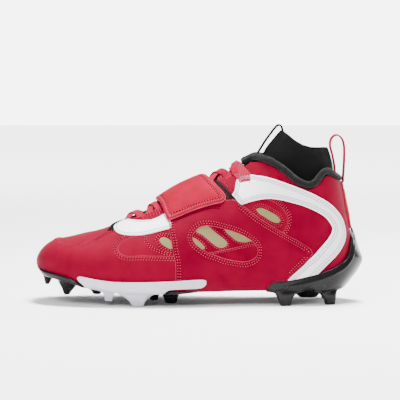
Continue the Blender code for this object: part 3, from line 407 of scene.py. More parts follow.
class Chart:
    """Lengths on one side of the last: a along the shoe, u up from the feather edge, and s down
    from the ridge."""

    def __init__(self, side):
        self.side = side
        self.grid = form(CHART_RUN[:, None], CHART_V[None, :], side)
        step = np.linalg.norm(np.diff(self.grid, axis=1), axis=2)
        self.up = np.concatenate([np.zeros((len(CHART_RUN), 1)), np.cumsum(step, axis=1)], axis=1)
        mid = form(CHART_RUN, np.full(CHART_RUN.shape, 0.45), side)
        self.a = np.concatenate([[0], np.cumsum(np.linalg.norm(np.diff(mid, axis=0), axis=1))])
        self.screen = project(self.grid)
        # regular tables of v against u and against s
        self.us = np.arange(0, 420.0, 0.5)
        self.v_of_u = np.stack([np.interp(self.us, row, CHART_V) for row in self.up])
        self.ss = np.arange(0, 200.0, 0.5)
        down = self.up[:, -1:] - self.up
        self.v_of_s = np.stack([np.interp(self.ss, row[::-1], CHART_V[::-1]) for row in down])

    def _look(self, table, run, second, step):
        i = np.clip(np.searchsorted(CHART_RUN, run) - 1, 0, len(CHART_RUN) - 2)
        t = np.clip((run - CHART_RUN[i]) / (CHART_RUN[i + 1] - CHART_RUN[i]), 0, 1)
        q = np.clip(second / step, 0, table.shape[1] - 1.001)
        j = q.astype(int)
        f = q - j
        low = table[i, j] * (1 - f) + table[i, j + 1] * f
        high = table[i + 1, j] * (1 - f) + table[i + 1, j + 1] * f
        return low * (1 - t) + high * t

    def from_au(self, p):
        p = np.asarray(p, float)
        run = np.interp(p[..., 0], self.a, CHART_RUN)
        return run, self._look(self.v_of_u, run, p[..., 1], 0.5)

    def to_au(self, run, v):
        run, v = np.asarray(run, float), np.asarray(v, float)
        i = np.clip(np.searchsorted(CHART_RUN, run) - 1, 0, len(CHART_RUN) - 2)
        t = np.clip((run - CHART_RUN[i]) / (CHART_RUN[i + 1] - CHART_RUN[i]), 0, 1)
        out = np.zeros(run.shape)
        for k in np.ndindex(run.shape):
            out[k] = np.interp(v[k], CHART_V, self.up[i[k]] * (1 - t[k]) + self.up[i[k] + 1] * t[k])
        return np.stack([np.interp(run, CHART_RUN, self.a), out], axis=-1)

    def from_xs(self, x, s):
        return self._look(self.v_of_s, np.asarray(x, float), np.abs(np.asarray(s, float)), 0.5)

    def to_s(self, run, v):
        au = self.to_au(run, v)
        total = np.interp(run, CHART_RUN, self.up[:, -1])
        return total - au[..., 1]


CHARTS = {side: Chart(side) for side in (-1, 1)}


TRACED = {}


def trace(points, off=0.0, side=-1):
    """The (run, v) places of the last, grown by off, that are seen at places in the picture."""
    want = np.asarray(points, float)
    key = (want.tobytes(), off, side)
    if key in TRACED:
        return TRACED[key].copy()
    c = CHARTS[side]
    rough, grid = c.screen[::4, ::3], c.grid[::4, ::3]
    flat, deep = rough.reshape(-1, 2), grid.reshape(-1, 3)[:, 1]
    run, v = np.zeros(len(want)), np.zeros(len(want))
    for k, p in enumerate(want):
        d = ((flat - p) ** 2).sum(1)
        near = np.argpartition(d, 6)[:6]
        best = near[np.argmin(d[near] + 0.02 * deep[near])]
        i, j = np.unravel_index(best, rough.shape[:2])
        run[k], v[k] = CHART_RUN[::4][i], CHART_V[::3][j]
    for _ in range(9):
        hi, lo = np.minimum(v + 0.001, 1.0), np.maximum(v - 0.001, 0.0)
        seen = project(skin(np.stack([run, run + 0.06, run, run]), np.stack([v, v, hi, lo]), side, off))
        ja = (seen[1] - seen[0]) / 0.06
        jb = (seen[2] - seen[3]) / (hi - lo)[:, None]
        det = ja[:, 0] * jb[:, 1] - ja[:, 1] * jb[:, 0]
        good = np.abs(det) > 1e-6
        det = np.where(good, det, 1.0)
        miss = want - seen[0]
        step_a = (miss[:, 0] * jb[:, 1] - miss[:, 1] * jb[:, 0]) / det
        step_b = (ja[:, 0] * miss[:, 1] - ja[:, 1] * miss[:, 0]) / det
        run = np.clip(run + np.where(good, np.clip(step_a, -4, 4), 0), TIP_X, FAN_X + FAN_LENGTH)
        v = np.clip(v + np.where(good, np.clip(step_b, -0.03, 0.03), 0), 0.0, 1.0)
    TRACED[key] = np.stack([run, v], axis=1)
    return TRACED[key].copy()


def across(rv, side):
    """The same places on the other side of the shoe, at the same station and height."""
    if side < 0:
        return rv
    z = form(rv[:, 0], rv[:, 1], -1)[:, 2]
    return np.stack([rv[:, 0], v_at_z(rv[:, 0], z, side)], axis=1)


def smooth_line(points, closed=True, step=1.2, corner=38.0):
    """A curve through the points at even steps. Turns sharper than corner stay corners."""
    p = np.asarray(points, float)
    n = len(p)
    if closed:
        before, after = np.roll(p, 1, axis=0), np.roll(p, -1, axis=0)
    else:
        before = np.concatenate([p[:1], p[:-1]])
        after = np.concatenate([p[1:], p[-1:]])
    a, b = p - before, after - p
    turn = np.degrees(np.abs(np.arctan2(a[:, 0] * b[:, 1] - a[:, 1] * b[:, 0], (a * b).sum(1))))
    sharp = turn > corner
    if not closed:
        sharp[0] = sharp[-1] = True
    tangent = after - before
    la, lb = np.linalg.norm(a, axis=1), np.linalg.norm(b, axis=1)
    out = []
    count = n if closed else n - 1
    for k in range(count):
        q = (k + 1) % n
        gap = np.linalg.norm(p[q] - p[k])
        if gap < 1e-6:
            continue
        m0 = (p[q] - p[k]) if sharp[k] else tangent[k] * gap / max(la[k] + lb[k], 1e-6)
        m1 = (p[q] - p[k]) if sharp[q] else tangent[q] * gap / max(la[q] + lb[q], 1e-6)
        steps = max(int(round(gap / step)), 1)
        t = np.linspace(0, 1, steps, endpoint=False)[:, None]
        out.append((2 * t ** 3 - 3 * t ** 2 + 1) * p[k] + (t ** 3 - 2 * t ** 2 + t) * m0
                   + (-2 * t ** 3 + 3 * t ** 2) * p[q] + (t ** 3 - t ** 2) * m1)
    line = np.concatenate(out)
    return line if closed else np.concatenate([line, p[-1:]])


def inset(line, d, closed=True):
    """The line moved by d to its left in the chart."""
    p = np.asarray(line, float)
    if closed:
        t = np.roll(p, -1, axis=0) - np.roll(p, 1, axis=0)
    else:
        t = np.gradient(p, axis=0)
    t /= np.maximum(np.linalg.norm(t, axis=1, keepdims=True), 1e-9)
    return p + d * np.stack([-t[:, 1], t[:, 0]], axis=1)


def left_turning(line):
    """The closed line in the order that keeps its inside on the left."""
    x, y = line[:, 0], line[:, 1]
    area = 0.5 * np.sum(x * np.roll(y, -1) - y * np.roll(x, -1))
    return line if area > 0 else line[::-1]


def inside(points, line):
    """Which points lie inside a closed line."""
    p, q = np.asarray(points, float), np.asarray(line, float)
    r = np.roll(q, -1, axis=0)
    out = np.zeros(len(p), bool)
    for a, b in zip(q, r):
        cross = (a[1] > p[:, 1]) != (b[1] > p[:, 1])
        at = a[0] + (p[:, 1] - a[1]) * (b[0] - a[0]) / (b[1] - a[1] if b[1] != a[1] else 1e-12)
        out ^= cross & (p[:, 0] < at)
    return out


def distance(points, lines):
    """How far each point is from the nearest of the closed lines."""
    p = np.asarray(points, float)
    best = np.full(len(p), 1e9)
    for line in lines:
        a = np.asarray(line, float)
        b = np.roll(a, -1, axis=0)
        ab = b - a
        size = np.maximum((ab ** 2).sum(1), 1e-12)
        for k in range(0, len(p), 400):
            d = p[k:k + 400, None, :] - a[None]
            t = np.clip((d * ab[None]).sum(2) / size[None], 0, 1)
            near = d - t[..., None] * ab[None]
            best[k:k + 400] = np.minimum(best[k:k + 400], np.sqrt((near ** 2).sum(2)).min(1))
    return best


# ---------------------------------------------------------------- making meshes
def add_mesh(name, verts, faces, uv=None, smooth=True):
    """A mesh object from points in mm, faces, and a chart place for every point."""
    mesh = bpy.data.meshes.new(name)
    mesh.from_pydata((np.asarray(verts, float) * MM).tolist(), [], [list(map(int, f)) for f in faces])
    if uv is not None:
        layer = mesh.uv_layers.new(name="chart")
        loops = np.zeros(len(mesh.loops), dtype=np.int32)
        mesh.loops.foreach_get("vertex_index", loops)
        layer.data.foreach_set("uv", (np.asarray(uv, float)[loops] * 0.01).ravel())
    if smooth:
        mesh.polygons.foreach_set("use_smooth", np.ones(len(mesh.polygons), bool))
    mesh.validate()
    mesh.update()
    made = bpy.data.objects.new(name, mesh)
    bpy.context.scene.collection.objects.link(made)
    return made


def dress(obj, mat, slot, *nodes):
    """Give a piece its material, its slot and its place on the body."""
    keep = np.zeros(len(obj.data.polygons), np.int32)
    obj.data.polygons.foreach_get("material_index", keep)
    obj.data.materials.clear()
    obj.data.materials.append(mat)
    # faces along the free edges take the paler edge colour, partly a painted highlight
    if keep.any():
        obj.data.materials.append(M_EDGE_HIGHLIGHT)
        obj.data.polygons.foreach_set("material_index", keep)
    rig.slot(obj, slot)
    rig.ride(obj, "root")
    if nodes:
        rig.replaces(obj, *nodes)
    return obj


def grid_faces(rows, cols, start=0, flip=False, wrap=False):
    i, j = np.meshgrid(np.arange(rows - 1), np.arange(cols if wrap else cols - 1), indexing="ij")
    i, j = i.ravel(), j.ravel()
    k = (j + 1) % cols
    f = np.stack([i * cols + j, (i + 1) * cols + j, (i + 1) * cols + k, i * cols + k], axis=1) + start
    return f[:, ::-1] if flip else f


def clean(obj, near=0.01):
    """Merge doubled points, drop flat faces and turn every face outwards."""
    bm = bmesh.new()
    bm.from_mesh(obj.data)
    bmesh.ops.remove_doubles(bm, verts=bm.verts, dist=near * MM)
    bmesh.ops.dissolve_degenerate(bm, dist=1e-7, edges=bm.edges)
    bmesh.ops.recalc_face_normals(bm, faces=bm.faces)
    bm.to_mesh(obj.data)
    bm.free()
    obj.data.update()
    return obj


def skin_any(run, v, side, off):
    """skin() where the side may differ from point to point."""
    run, v, side, off = np.broadcast_arrays(run, v, side, off)
    out = np.zeros(run.shape + (3,))
    for s in (-1, 1):
        m = side == s
        if m.any():
            out[m] = skin(run[m], v[m], s, off[m])
    return out


def side_place(side):
    """Chart of one side: (a, u) to the last."""
    def place(p, off):
        run, v = CHARTS[side].from_au(p)
        return skin_any(run, v, np.full(run.shape, side), off)
    return place


def top_place(p, off):
    """Chart across the ridge: (x, s), with s negative on the outer side."""
    side = np.where(p[..., 1] < 0, -1, 1)
    v = np.where(side < 0, CHARTS[-1].from_xs(p[..., 0], p[..., 1]), CHARTS[1].from_xs(p[..., 0], p[..., 1]))
    return skin_any(p[..., 0], v, side, off)


def bevel(d, thick, soft):
    """Height of a panel at a distance d from its edge."""
    q = np.clip(1 - d / soft, 0, 1)
    return thick * (0.42 + 0.58 * np.sqrt(np.clip(1 - q ** 2, 0, 1)))


def edge_loop(*parts):
    """A closed outline from open stretches that follow each other. Each part is (chart points, kind):
    kind 0 is a free edge, 1 a hidden edge without rounding, 2 an edge joined to the next panel.
    Returns the points, the kind of every segment, and the stretches in the same turning."""
    pts, kinds, rows = [], [], []
    for points, kind in parts:
        line = smooth_line(points, closed=False)
        pts.append(line[:-1])
        kinds += [kind] * (len(line) - 1)
        rows.append(line)
    pts, kinds = np.concatenate(pts), np.array(kinds)
    x, y = pts[:, 0], pts[:, 1]
    if np.sum(x * np.roll(y, -1) - y * np.roll(x, -1)) < 0:
        pts = pts[::-1]
        kinds = np.roll(kinds[::-1], -1)
        rows = [r[::-1] for r in rows]
    return pts, kinds, rows


def near_segments(points, a, b):
    """How far each point is from the nearest of the segments."""
    p = np.asarray(points, float)
    best = np.full(len(p), 1e9)
    if len(a) == 0:
        return best
    ab = b - a
    size = np.maximum((ab ** 2).sum(1), 1e-12)
    for k in range(0, len(p), 400):
        d = p[k:k + 400, None, :] - a[None]
        t = np.clip((d * ab[None]).sum(2) / size[None], 0, 1)
        best[k:k + 400] = np.sqrt(((d - t[..., None] * ab[None]) ** 2).sum(2)).min(1)
    return best


def panel(name, outline, holes, place, thick=1.2, base=0.0, soft=0.8, grid=2.4, grooves=(), depth=0.16,
          crown=0.0, relief=None, sink=0.25, kinds=None, merge=True, pale_rim=False):
    """A sheet cut to an outline in a chart, with rounded edges, sewn grooves and a closed underside.
    base is the height it lies at, a number or a function of the chart place."""
    lines = [np.asarray(outline, float)]
    if kinds is None:
        lines[0] = left_turning(lines[0])
        kinds = np.zeros(len(lines[0]), int)
    lines += [left_turning(np.asarray(h, float))[::-1] for h in holes]
    all_kinds = [kinds] + [np.zeros(len(h), int) for h in lines[1:]]
    seg_a = np.concatenate(lines)
    seg_b = np.concatenate([np.roll(l, -1, axis=0) for l in lines])
    seg_k = np.concatenate(all_kinds)
    free_a, free_b = seg_a[seg_k == 0], seg_b[seg_k == 0]
    rings = [0.14, 0.4, soft] + [g + e for g in grooves for e in (-0.45, 0.0, 0.45)]
    ring_pts, ring_want = [], []
    for line, kind in zip(lines, all_kinds):
        use = (kind == 0) & (np.roll(kind, 1) == 0)
        for d in rings:
            moved = inset(line, d)[use]
            ring_pts.append(moved)
            ring_want.append(np.full(len(moved), d))
    ring_pts, ring_want = np.concatenate(ring_pts), np.concatenate(ring_want)
    lo, hi = lines[0].min(0), lines[0].max(0)
    gx, gy = np.arange(lo[0], hi[0], grid), np.arange(lo[1], hi[1], grid * 0.87)
    xx, yy = np.meshgrid(gx, gy, indexing="ij")
    xx = xx + (np.arange(len(gy)) % 2)[None, :] * grid * 0.5
    cells = np.stack([xx.ravel(), yy.ravel()], axis=1)

    def within(q):
        ok = inside(q, lines[0])
        for h in lines[1:]:
            ok &= ~inside(q, h)
        return ok

    ok = within(ring_pts)
    ring_pts, ring_want = ring_pts[ok], ring_want[ok]
    ok = (near_segments(ring_pts, free_a, free_b) > ring_want - 0.12) & \
        (near_segments(ring_pts, seg_a, seg_b) > 0.1)
    ring_pts = ring_pts[ok]
    cells = cells[within(cells)]
    reach = max([soft] + [g + 0.5 for g in grooves]) + 0.5
    ok = (near_segments(cells, free_a, free_b) > reach) & (near_segments(cells, seg_a, seg_b) > 0.5)
    verts = np.concatenate([seg_a, ring_pts, cells[ok]])
    edges, k = [], 0
    for line in lines:
        n = len(line)
        edges += [(k + i, k + (i + 1) % n) for i in range(n)]
        k += n
    got = delaunay_2d_cdt([Vector(p) for p in verts], edges, [], 0, 1e-5, True)
    pts = np.array([[p.x, p.y] for p in got[0]])
    tris = np.array([f for f in got[2] if len(f) == 3])
    tris = tris[within(pts[tris].mean(axis=1))]
    a, b, c = pts[tris[:, 0]], pts[tris[:, 1]], pts[tris[:, 2]]
    area = (b[:, 0] - a[:, 0]) * (c[:, 1] - a[:, 1]) - (b[:, 1] - a[:, 1]) * (c[:, 0] - a[:, 0])
    tris = tris[np.abs(area) > 1e-4]
    d = near_segments(pts, free_a, free_b)
    ground = base(pts) if callable(base) else np.full(len(pts), float(base))
    h = bevel(d, thick, soft) + crown * (1 - np.exp(-(d / 7.0) ** 2))
    for g in grooves:
        h = h - depth * np.exp(-((d - g) / 0.42) ** 2)
    if relief is not None:
        h = h + relief(pts, d)
    top = place(pts, ground + h)
    low = place(pts, ground - sink)
    used = {}
    for t in tris:
        for x, y in ((t[0], t[1]), (t[1], t[2]), (t[2], t[0])):
            used.setdefault((min(x, y), max(x, y)), []).append((x, y))
    n = len(pts)
    faces = [tuple(t) for t in tris] + [(t[2] + n, t[1] + n, t[0] + n) for t in tris]
    rim = [e[0] for e in used.values() if len(e) == 1]
    if rim:
        mids = np.array([(pts[x] + pts[y]) * 0.5 for x, y in rim])
        joined = near_segments(mids, seg_a[seg_k == 2], seg_b[seg_k == 2]) < 1e-3
        faces += [(y, x, x + n, y + n) for (x, y), skip in zip(rim, joined) if not skip]
    made = add_mesh(name, np.concatenate([top, low]), faces, np.concatenate([pts, pts]))
    if pale_rim:
        # the cut edge, paler than the face, with a painted highlight along it
        mids = pts[tris].mean(axis=1)
        pale = near_segments(mids, free_a, free_b) < 0.30
        index = np.zeros(len(made.data.polygons), int)
        index[:len(tris)] = pale
        index[2 * len(tris):] = 1
        made.data.polygons.foreach_set("material_index", index)
    if merge:
        clean(made, 0.004)
        crease_edges(made)
    return made


def together(name, *objs):
    """Several meshes as one, with their meeting points merged."""
    bm = bmesh.new()
    for o in objs:
        bm.from_mesh(o.data)
    mesh = bpy.data.meshes.new(name)
    bm.to_mesh(mesh)
    bm.free()
    made = bpy.data.objects.new(name, mesh)
    bpy.context.scene.collection.objects.link(made)
    for o in objs:
        bpy.data.objects.remove(o, do_unlink=True)
    clean(made, 0.02)
    crease_edges(made)
    made.data.polygons.foreach_set("use_smooth", np.ones(len(made.data.polygons), bool))
    return made


def crease_edges(obj, angle=52.0):
    """Flat shading across sharp edges, smooth elsewhere."""
    obj.data.set_sharp_from_angle(angle=math.radians(angle))


# ---------------------------------------------------------------- stitches
THREADS = {}


def stitch_row(kind, line, place, height, closed=True, pitch=2.5, length=1.25, wide=0.38, skip=None):
    """Threads along a line in a chart. height is a number or a function of the chart place."""
    p = np.asarray(line, float)
    if closed:
        p = np.concatenate([p, p[:1]])
    s = np.concatenate([[0], np.cumsum(np.linalg.norm(np.diff(p, axis=0), axis=1))])
    count = max(int(s[-1] / pitch), 1)
    step = s[-1] / count
    mids = (np.arange(count) + 0.5) * step
    jit = RNG.normal(0, 0.05, count)
    for m, q in zip(mids, jit):
        t = np.linspace(-0.5, 0.5, 5)
        at = np.clip(m + q + t * length, 0, s[-1])
        c = np.stack([np.interp(at, s, p[:, 0]), np.interp(at, s, p[:, 1])], axis=1)
        if skip is not None and skip(c[2:3])[0]:
            continue
        THREADS.setdefault(kind, []).append((c, place, height, wide))
        # between the stitches of these kinds, a dark dot: painted shade of the needle hole
        if kind in ("red", "white", "dark"):
            at = np.clip(m + q + step * 0.5 + np.linspace(-0.5, 0.5, 5) * max(step - length, 0.3) * 1.1, 0, s[-1])
            c = np.stack([np.interp(at, s, p[:, 0]), np.interp(at, s, p[:, 1])], axis=1)
            low = (lambda c, h=height: h(c) - 0.04) if callable(height) else height - 0.04
            THREADS.setdefault(kind + "_hole", []).append((c, place, low, wide * 1.2))


def sew(kind, name, mat, slot):
    """One mesh with all the threads of a kind."""
    rows = THREADS.get(kind, [])
    verts, faces = [], []
    shapes = {}
    for c, place, height, wide in rows:
        shapes.setdefault(id(place), (place, []))[1].append((c, height, wide))
    for place, items in shapes.values():
        cs = np.array([i[0] for i in items])
        ground = np.array([i[1](i[0]) if callable(i[1]) else np.full(len(i[0]), float(i[1])) for i in items])
        wide = np.array([i[2] for i in items])
        arch = np.array([-0.22, 0.10, 0.17, 0.10, -0.22])
        mid = place(cs, ground + arch[None, :])
        up = place(cs, ground + arch[None, :] + 1.0) - mid
        up /= np.linalg.norm(up, axis=2, keepdims=True)
        along = np.gradient(mid, axis=1)
        along /= np.maximum(np.linalg.norm(along, axis=2, keepdims=True), 1e-9)
        across_ = np.cross(along, up)
        across_ /= np.maximum(np.linalg.norm(across_, axis=2, keepdims=True), 1e-9)
        taper = np.array([0.45, 0.9, 1.0, 0.9, 0.45])[None, :, None]
        ring = []
        for k in range(6):
            ang = k * math.pi / 3
            ring.append(mid + (across_ * math.cos(ang) + up * math.sin(ang) * 0.8) * wide[:, None, None] * taper)
        ring = np.stack(ring, axis=2)                       # item, 5, 6, 3
        n = len(items)
        start = len(verts)
        verts.extend(ring.reshape(-1, 3))
        base = start + np.arange(n) * 30
        for i in range(4):
            for k in range(6):
                q = (k + 1) % 6
                faces.append(np.stack([base + i * 6 + k, base + i * 6 + q, base + (i + 1) * 6 + q,
                                       base + (i + 1) * 6 + k], axis=1))
    quads = np.concatenate(faces)
    made = add_mesh(name, np.array(verts), quads)
    # close the ends
    bm = bmesh.new()
    bm.from_mesh(made.data)
    bmesh.ops.holes_fill(bm, edges=[e for e in bm.edges if len(e.link_faces) == 1], sides=6)
    bmesh.ops.recalc_face_normals(bm, faces=bm.faces)
    bm.to_mesh(made.data)
    bm.free()
    made.data.polygons.foreach_set("use_smooth", np.ones(len(made.data.polygons), bool))
    return dress(made, mat, slot)


# ---------------------------------------------------------------- materials
def shader(name, colour, rough, spec=0.5, coat=0.0, coat_rough=0.2, sheen=0.0, sheen_rough=0.5, tint=None):
    mat = bpy.data.materials.new(name)
    mat.use_nodes = True
    nodes, links = mat.node_tree.nodes, mat.node_tree.links
    out = nodes["Principled BSDF"]
    out.inputs["Base Color"].default_value = (*colour, 1)
    out.inputs["Roughness"].default_value = rough
    out.inputs["Specular IOR Level"].default_value = spec
    if tint is not None:
        out.inputs["Specular Tint"].default_value = (*tint, 1)
    out.inputs["Coat Weight"].default_value = coat
    out.inputs["Coat Roughness"].default_value = coat_rough
    out.inputs["Sheen Weight"].default_value = sheen
    out.inputs["Sheen Roughness"].default_value = sheen_rough
    mat.diffuse_color = (*colour, 1)
    return mat, nodes, links, out


def object_coords(nodes, scale=1000.0):
    """Object space in millimetres."""
    tc = nodes.new("ShaderNodeTexCoord")
    mp = nodes.new("ShaderNodeMapping")
    mp.inputs["Scale"].default_value = (scale, scale, scale)
    return tc, mp


def chart_coords(nodes, links, turn=0.0, sx=1.0, sy=1.0):
    """The chart in millimetres, turned and scaled."""
    uv = nodes.new("ShaderNodeUVMap")
    uv.uv_map = "chart"
    mp = nodes.new("ShaderNodeMapping")
    mp.inputs["Scale"].default_value = (100 * sx, 100 * sy, 1)
    mp.inputs["Rotation"].default_value = (0, 0, turn)
    links.new(uv.outputs["UV"], mp.inputs["Vector"])
    return mp.outputs["Vector"]


def noise(nodes, links, vec, scale, detail=3.0, rough=0.55):
    n = nodes.new("ShaderNodeTexNoise")
    n.inputs["Scale"].default_value = scale
    n.inputs["Detail"].default_value = detail
    n.inputs["Roughness"].default_value = rough
    links.new(vec, n.inputs["Vector"])
    return n.outputs["Fac"]


def ramp(nodes, links, fac, stops):
    r = nodes.new("ShaderNodeValToRGB")
    el = r.color_ramp.elements
    while len(el) < len(stops):
        el.new(0.5)
    for e, (at, col) in zip(el, stops):
        e.position = at
        e.color = (*col, 1) if len(col) == 3 else col
    links.new(fac, r.inputs["Fac"])
    return r.outputs["Color"]


def mix(nodes, links, a, b, fac, kind="MIX"):
    m = nodes.new("ShaderNodeMix")
    m.data_type = "RGBA"
    m.blend_type = kind
    for socket, value in ((m.inputs[6], a), (m.inputs[7], b), (m.inputs[0], fac)):
        if isinstance(value, (int, float)):
            socket.default_value = value
        elif isinstance(value, tuple):
            socket.default_value = (*value, 1) if len(value) == 3 else value
        else:
            links.new(value, socket)
    return m.outputs[2]


def maths(nodes, links, kind, a, b=None, clamp=False):
    m = nodes.new("ShaderNodeMath")
    m.operation = kind
    m.use_clamp = clamp
    for socket, value in ((m.inputs[0], a), (m.inputs[1], b)):
        if value is None:
            continue
        if isinstance(value, (int, float)):
            socket.default_value = value
        else:
            links.new(value, socket)
    return m.outputs[0]


def bump(nodes, links, out, height, strength, dist=0.0004, under=None):
    b = nodes.new("ShaderNodeBump")
    b.inputs["Strength"].default_value = strength
    b.inputs["Distance"].default_value = dist
    links.new(height, b.inputs["Height"])
    if under is not None:
        links.new(under, b.inputs["Normal"])
    if out is not None:
        links.new(b.outputs["Normal"], out.inputs["Normal"])
    return b.outputs["Normal"]


def vary_rough(nodes, links, out, fac, low, high):
    m = nodes.new("ShaderNodeMapRange")
    m.inputs["To Min"].default_value = low
    m.inputs["To Max"].default_value = high
    links.new(fac, m.inputs["Value"])
    links.new(m.outputs["Result"], out.inputs["Roughness"])


def nubuck(name, dark, light, grain=1.0, rough=(0.52, 0.68), tint=(1.0, 0.05, 0.20)):
    """Fine napped synthetic: short soft grain, a little cloudiness."""
    mat, nodes, links, out = shader(name, light, 0.6, spec=0.07, tint=tint)
    tc, mp = object_coords(nodes)
    links.new(tc.outputs["Object"], mp.inputs["Vector"])
    vec = mp.outputs["Vector"]
    cloud = noise(nodes, links, vec, 0.09, 3.0)
    nap = noise(nodes, links, vec, 1.6 * grain, 4.0, 0.65)
    fine = noise(nodes, links, vec, 4.5 * grain, 3.0, 0.6)
    both = maths(nodes, links, "ADD", maths(nodes, links, "MULTIPLY", cloud, 0.45),
                 maths(nodes, links, "MULTIPLY", nap, 0.55))
    col = ramp(nodes, links, both, [(0.30, dark), (0.68, light)])
    links.new(col, out.inputs["Base Color"])
    first = bump(nodes, links, None, nap, 0.35, 0.00025)
    bump(nodes, links, out, fine, 0.40, 0.00012, first)
    vary_rough(nodes, links, out, nap, *rough)
    return mat


def leather(name, dark, light, rough=(0.34, 0.5), coat=0.0, cell=1.1, strength=0.22, spec=0.13,
            tint=(1.0, 0.02, 0.14)):
    """Smooth leather: small pebble cells, faint creases and cloudiness."""
    mat, nodes, links, out = shader(name, light, 0.42, spec=spec, coat=coat, coat_rough=0.35, tint=tint)
    tc, mp = object_coords(nodes)
    links.new(tc.outputs["Object"], mp.inputs["Vector"])
    vec = mp.outputs["Vector"]
    cloud = noise(nodes, links, vec, 0.05, 3.0)
    v = nodes.new("ShaderNodeTexVoronoi")
    v.inputs["Scale"].default_value = cell
    v.feature = "SMOOTH_F1"
    links.new(vec, v.inputs["Vector"])
    fine = noise(nodes, links, vec, 3.2, 4.0, 0.6)
    col = ramp(nodes, links, cloud, [(0.32, dark), (0.66, light)])
    links.new(col, out.inputs["Base Color"])
    first = bump(nodes, links, None, v.outputs["Distance"], strength, 0.00012)
    bump(nodes, links, out, fine, strength, 0.00010, first)
    vary_rough(nodes, links, out, fine, *rough)
    return mat


def knit(name, dark, light, wale=1.0, course=0.85, strength=0.9, rough=0.85, sheen=0.3):
    """Small vee stitches in columns, in the chart's own millimetres."""
    mat, nodes, links, out = shader(name, light, rough, spec=0.06, sheen=sheen, sheen_rough=0.5)
    vec = chart_coords(nodes, links)
    sep = nodes.new("ShaderNodeSeparateXYZ")
    links.new(vec, sep.inputs[0])
    x = maths(nodes, links, "MULTIPLY", sep.outputs[0], 2 * math.pi / wale)
    # each column leans the rows up and down to make a vee
    fold = maths(nodes, links, "ABSOLUTE", maths(nodes, links, "SINE", maths(nodes, links, "MULTIPLY", x, 0.5)))
    y = maths(nodes, links, "ADD", maths(nodes, links, "MULTIPLY", sep.outputs[1], 2 * math.pi / course),
              maths(nodes, links, "MULTIPLY", fold, 2.2))
    row = maths(nodes, links, "MULTIPLY", maths(nodes, links, "ADD", maths(nodes, links, "SINE", y), 1.0), 0.5)
    height = maths(nodes, links, "MULTIPLY", row, maths(nodes, links, "POWER", fold, 0.6))
    tc, mp = object_coords(nodes)
    links.new(tc.outputs["Object"], mp.inputs["Vector"])
    fuzz = noise(nodes, links, mp.outputs["Vector"], 3.0, 3.0)
    total = maths(nodes, links, "ADD", height, maths(nodes, links, "MULTIPLY", fuzz, 0.35))
    col = ramp(nodes, links, total, [(0.15, dark), (0.95, light)])
    links.new(col, out.inputs["Base Color"])
    bump(nodes, links, out, total, strength, 0.0003)
    vary_rough(nodes, links, out, fuzz, rough - 0.08, min(rough + 0.1, 1.0))
    return mat


def webbing(name, dark, light, pitch=1.1, strength=0.8, rough=0.7, turn=0.0, tint=None):
    """Plain weave with ribs across, in the piece's own chart."""
    mat, nodes, links, out = shader(name, light, rough, spec=0.08, tint=tint)
    vec = chart_coords(nodes, links, turn)
    sep = nodes.new("ShaderNodeSeparateXYZ")
    links.new(vec, sep.inputs[0])
    k = 2 * math.pi / pitch
    sx = maths(nodes, links, "SINE", maths(nodes, links, "MULTIPLY", sep.outputs[0], k))
    sy = maths(nodes, links, "SINE", maths(nodes, links, "MULTIPLY", sep.outputs[1], k))
    weave = maths(nodes, links, "ADD", maths(nodes, links, "MULTIPLY", maths(nodes, links, "MULTIPLY", sx, sy), 0.5), 0.5)
    tc, mp = object_coords(nodes)
    links.new(tc.outputs["Object"], mp.inputs["Vector"])
    fuzz = noise(nodes, links, mp.outputs["Vector"], 2.6, 3.0)
    total = maths(nodes, links, "ADD", weave, maths(nodes, links, "MULTIPLY", fuzz, 0.4))
    col = ramp(nodes, links, total, [(0.2, dark), (1.0, light)])
    links.new(col, out.inputs["Base Color"])
    bump(nodes, links, out, total, strength, 0.00025)
    vary_rough(nodes, links, out, fuzz, rough - 0.1, rough + 0.12)
    return mat


def fleece(name, dark, light):
    mat, nodes, links, out = shader(name, light, 0.95, spec=0.05, sheen=0.06, sheen_rough=0.6)
    tc, mp = object_coords(nodes)
    links.new(tc.outputs["Object"], mp.inputs["Vector"])
    vec = mp.outputs["Vector"]
    tuft = noise(nodes, links, vec, 0.8, 5.0, 0.7)
    fine = noise(nodes, links, vec, 3.5, 4.0, 0.7)
    col = ramp(nodes, links, maths(nodes, links, "MULTIPLY", maths(nodes, links, "ADD", tuft, fine), 0.5),
               [(0.36, dark), (0.66, light)])
    links.new(col, out.inputs["Base Color"])
    first = bump(nodes, links, None, tuft, 0.8, 0.0006)
    bump(nodes, links, out, fine, 0.8, 0.0003, first)
    vary_rough(nodes, links, out, fine, 0.85, 1.0)
    return mat


def moulded(name, dark, light, rough=(0.22, 0.36), coat=0.35, grain=0.10, spec=0.5):
    """Moulded plastic with a faint flow texture and slight scuffing."""
    mat, nodes, links, out = shader(name, light, 0.3, spec=spec, coat=coat, coat_rough=0.12)
    tc, mp = object_coords(nodes)
    links.new(tc.outputs["Object"], mp.inputs["Vector"])
    vec = mp.outputs["Vector"]
    cloud = noise(nodes, links, vec, 0.06, 3.0)
    fine = noise(nodes, links, vec, 2.2, 5.0, 0.7)
    col = ramp(nodes, links, cloud, [(0.3, dark), (0.7, light)])
    links.new(col, out.inputs["Base Color"])
    bump(nodes, links, out, fine, grain, 0.00008)
    vary_rough(nodes, links, out, fine, *rough)
    return mat


